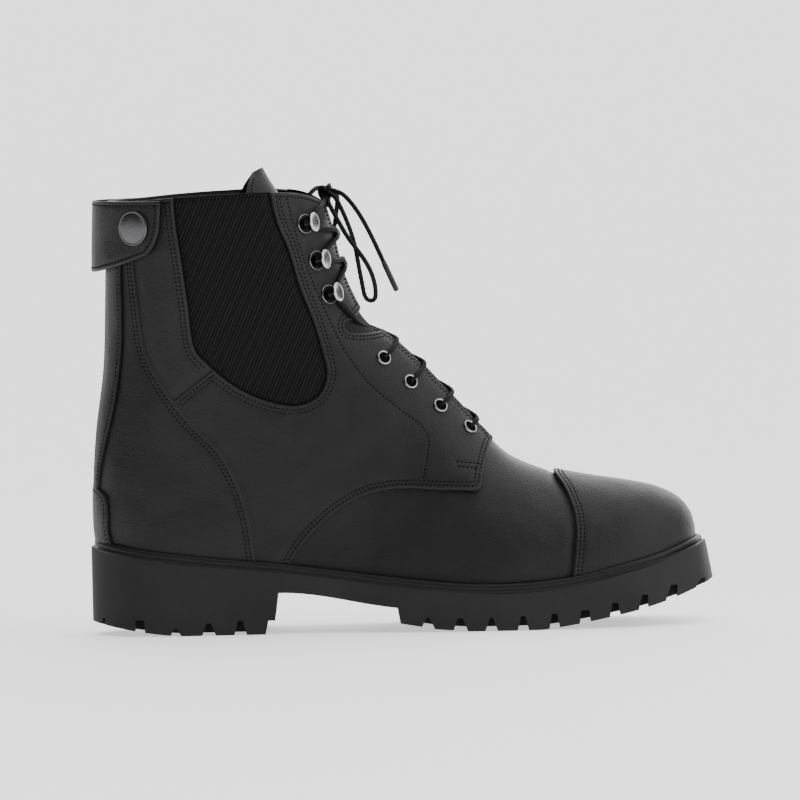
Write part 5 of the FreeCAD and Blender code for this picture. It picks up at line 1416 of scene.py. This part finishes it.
def build_tongue():
    """The padded tongue, curled round the instep, with its leaf leaning back at the top."""
    rows = smooth_line(TONGUE_ROWS, TONGUE_STEP)
    shares = crowded(SHEET_COLUMNS)
    along = unit(np.gradient(rows[:, :2], axis=0))
    inward = np.stack([-along[:, 1], along[:, 0]], 1)
    inward = np.where(inward[:, :1] > 0, -inward, inward)
    outer, inner = [], []
    top_share = np.clip((rows[:, 1] - TONGUE_TOP_Z) / TONGUE_TOP_RUN, 0, 1)
    for share in shares:
        curl = rows[:, 3] * share ** 2 * (1 + TONGUE_LEAN * top_share * max(share, 0.0))
        puff = TONGUE_PUFF * (1 - abs(share) ** 5) * np.minimum(np.arange(len(rows)) / PUFF_ROWS, 1)
        half = TONGUE_THICK / 2 * math.sqrt(max(1 - abs(share) ** 6, 0.0))
        middle_x = rows[:, 0] + inward[:, 0] * (curl + TONGUE_THICK / 2)
        middle_z = rows[:, 1] + inward[:, 1] * (curl + TONGUE_THICK / 2)
        across = rows[:, 2] * share
        for group, lift in ((outer, -half - FACE_PUFF * puff), (inner, half + puff)):
            x, z = middle_x + inward[:, 0] * lift, middle_z + inward[:, 1] * lift
            group.append(np.stack([x, across, z], 1))
    outer, inner = np.stack(outer, 1), np.stack(inner, 1)
    tongue = closed_sheet("tongue_leather", outer, inner, SOFT_LEATHER)
    settle(tongue_threads(outer, shares), "tongue_leather")
    settle(tongue, "tongue_leather", "tongue")


# ---------------------------------------------------------------- lining, footbed and zip cloth
LINING_REST = -2.2
SHAFT_MIDDLE_X = -60
LINING_FLARE = 1.9
FLARE_REACH = 4.0
LINING_FRONT = [(50, 130), (46, 95), (40, 60), (38, 10)]
LINING_AHEAD_ZONE = zone([LINING_FRONT], [(170, 10), (170, 130)])
BACK_ROWS = 72
FLAP_FACE = -4.2
FLAP_THICK = 1.2
FLAP_HALF = 14.6
FLAP_PLACES = (0.5, 4.45)
TAPE_FACE = -0.15
TAPE_THICK = 1.0
TAPE_SPAN = (3.6, 12.9)
TAPE_PLACES = (0.5, 3.98)
FOOTBED_INSET = -4.8
FOOTBED_LIFT = 6.5
FOOTBED_THICK = 4.3
FOOTBED_ROWS = 80
FOOTBED_GAP = 0.2
HEEL_CUP = 2.2
HEEL_FRONT_X = -30
HEEL_RUN = 60
ARCH_RISE = 2.6
ARCH_X = -22
ARCH_RUN = 34


def build_lining(name, side):
    """The lining of one side, flared out to the upper round its openings."""
    collar, throat, zip_edge = collar_of[side], throat_of[side], zip_edge_of[side]

    def in_lining(x, y, z):
        rear = x < SHAFT_MIDDLE_X
        slit = np.where(rear, (np.abs(y) < ZIP_HALF) & (z > ZIP_FOOT_Z), np.abs(y) < THROAT_HALF)
        return on_upper(x, z) & on_side(side, y) & ~slit & ~inside(LINING_AHEAD_ZONE, x, z)

    def flare(points, angle):
        near = np.min([distance(points, rim.points) for rim in (collar, throat, zip_edge)], axis=0)
        return LINING_FLARE * np.exp(-(near / FLARE_REACH) ** 2)

    panel = Panel(f"lining_leather_{name}", in_lining, [
        (collar, "over", ()), (zip_edge, "over", ()), (heel_of[side], "plain", ()),
        (sole_of[side], "plain", ()), (throat, "over", ()), (seam(LINING_FRONT, side), "plain", ())],
        LINING_REST, LINING_REST - LINING_THICK, flare)
    settle(panel.build(LINING_LEATHER), "lining_leather", "lining")


def back_strip(name, span, places, face, thick, finish, columns=14):
    """A thin strip up the back of the shaft, between two y values."""
    place = np.linspace(*places, BACK_ROWS)
    outer, inner = [], []
    for share in np.linspace(0, 1, columns):
        y = span[0] + (span[1] - span[0]) * share
        side = 1.0 if y > 0 else -1.0
        angle = side * bisect(lambda a: np.abs(raised(place, side * a, face)[:, 1]) - abs(y),
                              np.full_like(place, math.pi), np.full_like(place, math.pi / 2))
        half = 0.5 * thick * math.sqrt(max(1 - abs(2 * share - 1) ** 8, 0.04))
        outer.append(raised(place, angle, face - thick / 2 + half))
        inner.append(raised(place, angle, face - thick / 2 - half))
    return closed_sheet(name, np.stack(outer, 1), np.stack(inner, 1), finish)


def build_zip_cloth():
    """The dust flap behind the zip and the two zip tapes."""
    flap = back_strip("zip_flap_leather", (-FLAP_HALF, FLAP_HALF), FLAP_PLACES, FLAP_FACE, FLAP_THICK,
                      LINING_LEATHER)
    settle(flap, "lining_leather", "zip_flap")
    for name, side in SIDES.items():
        span = (side * TAPE_SPAN[0], side * TAPE_SPAN[1])
        tape = back_strip(f"zip_tape_cloth_{name}", span, TAPE_PLACES, TAPE_FACE, TAPE_THICK, TAPE_CLOTH, 8)
        settle(tape, "zip_tape", f"zip_tape_{name}")


def build_footbed():
    """The contoured footbed: a heel cup, an arch rise and rolled edges."""
    rims = {}
    for side in (-1.0, 1.0):
        line = sole_seam(side, FOOTBED_INSET)
        points = raised(line.place, line.angle, FOOTBED_INSET)
        rims[side] = points[np.argsort(points[:, 0])]
    low = max(rim[0, 0] for rim in rims.values()) + FOOTBED_GAP
    high = min(rim[-1, 0] for rim in rims.values()) - FOOTBED_GAP
    x = (low + high) / 2 + (high - low) / 2 * crowded(FOOTBED_ROWS)
    left, right = (np.interp(x, rims[s][:, 0], rims[s][:, 1]) for s in (-1.0, 1.0))
    base = sole_top(x) + FOOTBED_LIFT
    heel = np.clip((HEEL_FRONT_X - x) / HEEL_RUN, 0, 1)
    arch = np.exp(-((x - ARCH_X) / ARCH_RUN) ** 2)
    top, bottom = [], []
    for share in crowded(SHEET_COLUMNS):
        y = (left + right) / 2 + (right - left) / 2 * share
        rolled = math.sqrt(max(1 - abs(share) ** 10, 0.0))
        contour = HEEL_CUP * heel * share ** 4 + ARCH_RISE * arch * max(share, 0.0) ** 2
        top.append(np.stack([x, y, base + FOOTBED_THICK * (0.5 + 0.5 * rolled) + contour], 1))
        bottom.append(np.stack([x, y, base + FOOTBED_THICK * (0.5 - 0.5 * rolled)], 1))
    footbed = closed_sheet("footbed_cushion", np.stack(bottom, 1), np.stack(top, 1), FOOTBED_CLOTH)
    settle(footbed, "foam_footbed", "footbed")


# ---------------------------------------------------------------- welt
WELT_PROFILE = [(0.6, -0.8), (0.8, 2.4), (1.5, 3.7), (2.5, 4.4), (3.6, 4.2), (4.2, 3.4), (4.35, 2.4),
                (4.1, 1.5), (4.4, 1.1), (5.1, 0.9), (5.5, 0.4), (5.4, -0.1), (4.6, -0.8)]
WELT_SMOOTHING = 6


def sole_ring(side):
    """Base points and level outward directions along the sole's top line on one side."""
    line = sole_of[side]
    out = normals(line.place, line.angle)
    out[:, 2] = 0
    return line.points, unit(out)


def build_welt():
    """The moulded bead where the upper meets the sole, swept along the sole's top line."""
    points_a, out_a = sole_ring(-1.0)
    points_b, out_b = sole_ring(1.0)
    ring = np.concatenate([points_a, points_b[::-1]])
    out = np.concatenate([out_a, out_b[::-1]])
    for _ in range(WELT_SMOOTHING):
        out = unit(out + 0.5 * (np.roll(out, 1, axis=0) + np.roll(out, -1, axis=0)))
    profile = rounded_profile(WELT_PROFILE, 1)
    points = np.stack([ring + out * m + np.array([0, 0, 1.0]) * h for m, h in profile], 1)
    bead = (points, tube_faces(len(ring), len(profile), looped=True))
    settle(gathered("welt_bead", [bead], WELT_RUBBER), "welt_rubber", "welt")


# ---------------------------------------------------------------- carried-over CAD nodes
CAD_FINISHES = {
    "outsole": SOLE_RUBBER, "insole_board": BOARD, "bottom_filler": CORK, "shank": STEEL,
    "heel_stiffener": BOARD, "toe_stiffener": BOARD, "facing_stay_lateral": BLACK_BOARD,
    "facing_stay_medial": BLACK_BOARD, "zip_teeth_lateral": BLACK_PLASTIC,
    "zip_teeth_medial": BLACK_PLASTIC, "zip_top_stops": GUNMETAL, "zip_bottom_stop": GUNMETAL,
    "zip_slider": GUNMETAL, "zip_pull": GUNMETAL, "snap_socket": SNAP_METAL, "snap_stud": SNAP_METAL}
SOLE_ROUNDING = 0.35
SOLE_CORNER = math.radians(35)


def finish_cad_nodes():
    """Materials for the CAD nodes that stay, and the sole's moulded edges."""
    for node, finish in CAD_FINISHES.items():
        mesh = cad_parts[node].data
        mesh.materials.clear()
        mesh.materials.append(finish)
    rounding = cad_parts["outsole"].modifiers.new("moulded_edges", "BEVEL")
    rounding.width = SOLE_ROUNDING * MM
    rounding.segments = 2
    rounding.limit_method = "ANGLE"
    rounding.angle_limit = SOLE_CORNER


# ---------------------------------------------------------------- studio and camera
VIEW_CENTRE = (0.0026, -0.03, 0.1109)
VIEW_WIDTH = 0.3845
VIEW_DISTANCE = 6.0
VIEW_ELEVATION = math.radians(2.4)
VIEW_ROLL = math.radians(-1.28)
CLIP_M = (0.05, 300.0)

# The world glows behind the boot, from one world Y to another, and is shaded on its left.
BACK_GLOW = 4.6
FRONT_GLOW = 0.1
GLOW_SPAN = (0.62, 0.96)
LEFT_SHADE = 0.2
SHADE_SPAN = (-0.55, -0.15)
SKY_POWER = 3.6
SKY_SPREAD = math.radians(100)
SKY_PLACE = (0.30, 0.12, 1.0)
FLOOR_GLOW = 0.75
FLOOR_LEVEL = -0.1
FLOOR_REACH = 90000.0
# Each softbox: its place and target in metres, its two sides, and its power in watts.
SOFTBOXES = {
    "left_softbox": ((-1.5, -1.3, 0.7), (0, 0, 0.1), (0.8, 1.0), 0.5),
    "right_softbox": ((1.7, -0.9, 0.8), (0, 0, 0.1), (0.7, 1.2), 14),
    "low_softbox": ((0.1, -1.5, 0.05), (0, 0, 0.02), (1.6, 0.08), 1.8)}


def aim_light(light, place, target):
    holder = add_object(light.name, light)
    holder.location = place
    holder.rotation_euler = (Vector(target) - Vector(place)).to_track_quat("-Z", "Y").to_euler()


def build_floor():
    """A wide sheet of glowing white paper."""
    paper = new_material("floor_paper", (0.86, 0.86, 0.86), 0.8, Emission_Color=(1, 1, 1, 1),
                         Emission_Strength=FLOOR_GLOW)
    relief(paper, (noise(paper, surface_coordinates(paper), 900.0), 0.00005, 0.3))
    signs = ((-1, -1), (1, -1), (1, 1), (-1, 1))
    corners = [(x * FLOOR_REACH, y * FLOOR_REACH, FLOOR_LEVEL) for x, y in signs]
    mesh_object("floor", corners, [(0, 1, 2, 3)], paper, smooth=False)


def build_lights():
    """The world's glow, a broad light from above and three softboxes."""
    world = bpy.data.worlds.new("studio")
    world.use_nodes = True
    parts = add_node(world, "SeparateXYZ", Vector=add_node(world, "TexCoord").outputs["Generated"]).outputs
    glow = add_node(world, "MapRange", Value=parts["Y"], From_Min=GLOW_SPAN[0], From_Max=GLOW_SPAN[1],
                    To_Min=FRONT_GLOW, To_Max=BACK_GLOW)
    glow.interpolation_type = "SMOOTHSTEP"
    flag = add_node(world, "MapRange", Value=parts["X"], From_Min=SHADE_SPAN[0], From_Max=SHADE_SPAN[1],
                    To_Min=LEFT_SHADE, To_Max=1.0)
    background = world.node_tree.nodes["Background"]
    background.inputs["Color"].default_value = (1, 1, 1, 1)
    strength = product(world, glow.outputs["Result"], flag.outputs["Result"])
    world.node_tree.links.new(strength, background.inputs["Strength"])
    bpy.context.scene.world = world
    sky = bpy.data.lights.new("top_dome", "SUN")
    sky.energy, sky.angle = SKY_POWER, SKY_SPREAD
    aim_light(sky, SKY_PLACE, (0, 0, 0))
    for name, (place, target, size, power) in SOFTBOXES.items():
        light = bpy.data.lights.new(name, "AREA")
        light.shape = "RECTANGLE"
        light.size, light.size_y = size
        light.energy = power
        aim_light(light, place, target)


def build_camera():
    """A long lens a little above the boot's outer side."""
    camera = bpy.data.cameras.new("camera")
    camera.sensor_width = 36.0
    camera.lens = camera.sensor_width * VIEW_DISTANCE / VIEW_WIDTH
    camera.clip_start, camera.clip_end = CLIP_M
    holder = add_object("camera", camera)
    centre = Vector(VIEW_CENTRE)
    back = Vector((0, -math.cos(VIEW_ELEVATION), math.sin(VIEW_ELEVATION)))
    holder.location = centre + back * VIEW_DISTANCE
    look = (-back).to_track_quat("-Z", "Y").to_matrix().to_4x4()
    holder.matrix_world = Matrix.Translation(holder.location) @ look @ Matrix.Rotation(VIEW_ROLL, 4, "Z")
    bpy.context.scene.camera = holder


build_camera()
build_laces()
for side_name, side_sign in SIDES.items():
    build_side(side_name, side_sign)
    build_lining(side_name, side_sign)
build_front_and_heel()
build_tab()
build_hardware()
build_tongue()
build_zip_cloth()
build_footbed()
build_welt()
finish_cad_nodes()
build_floor()
build_lights()
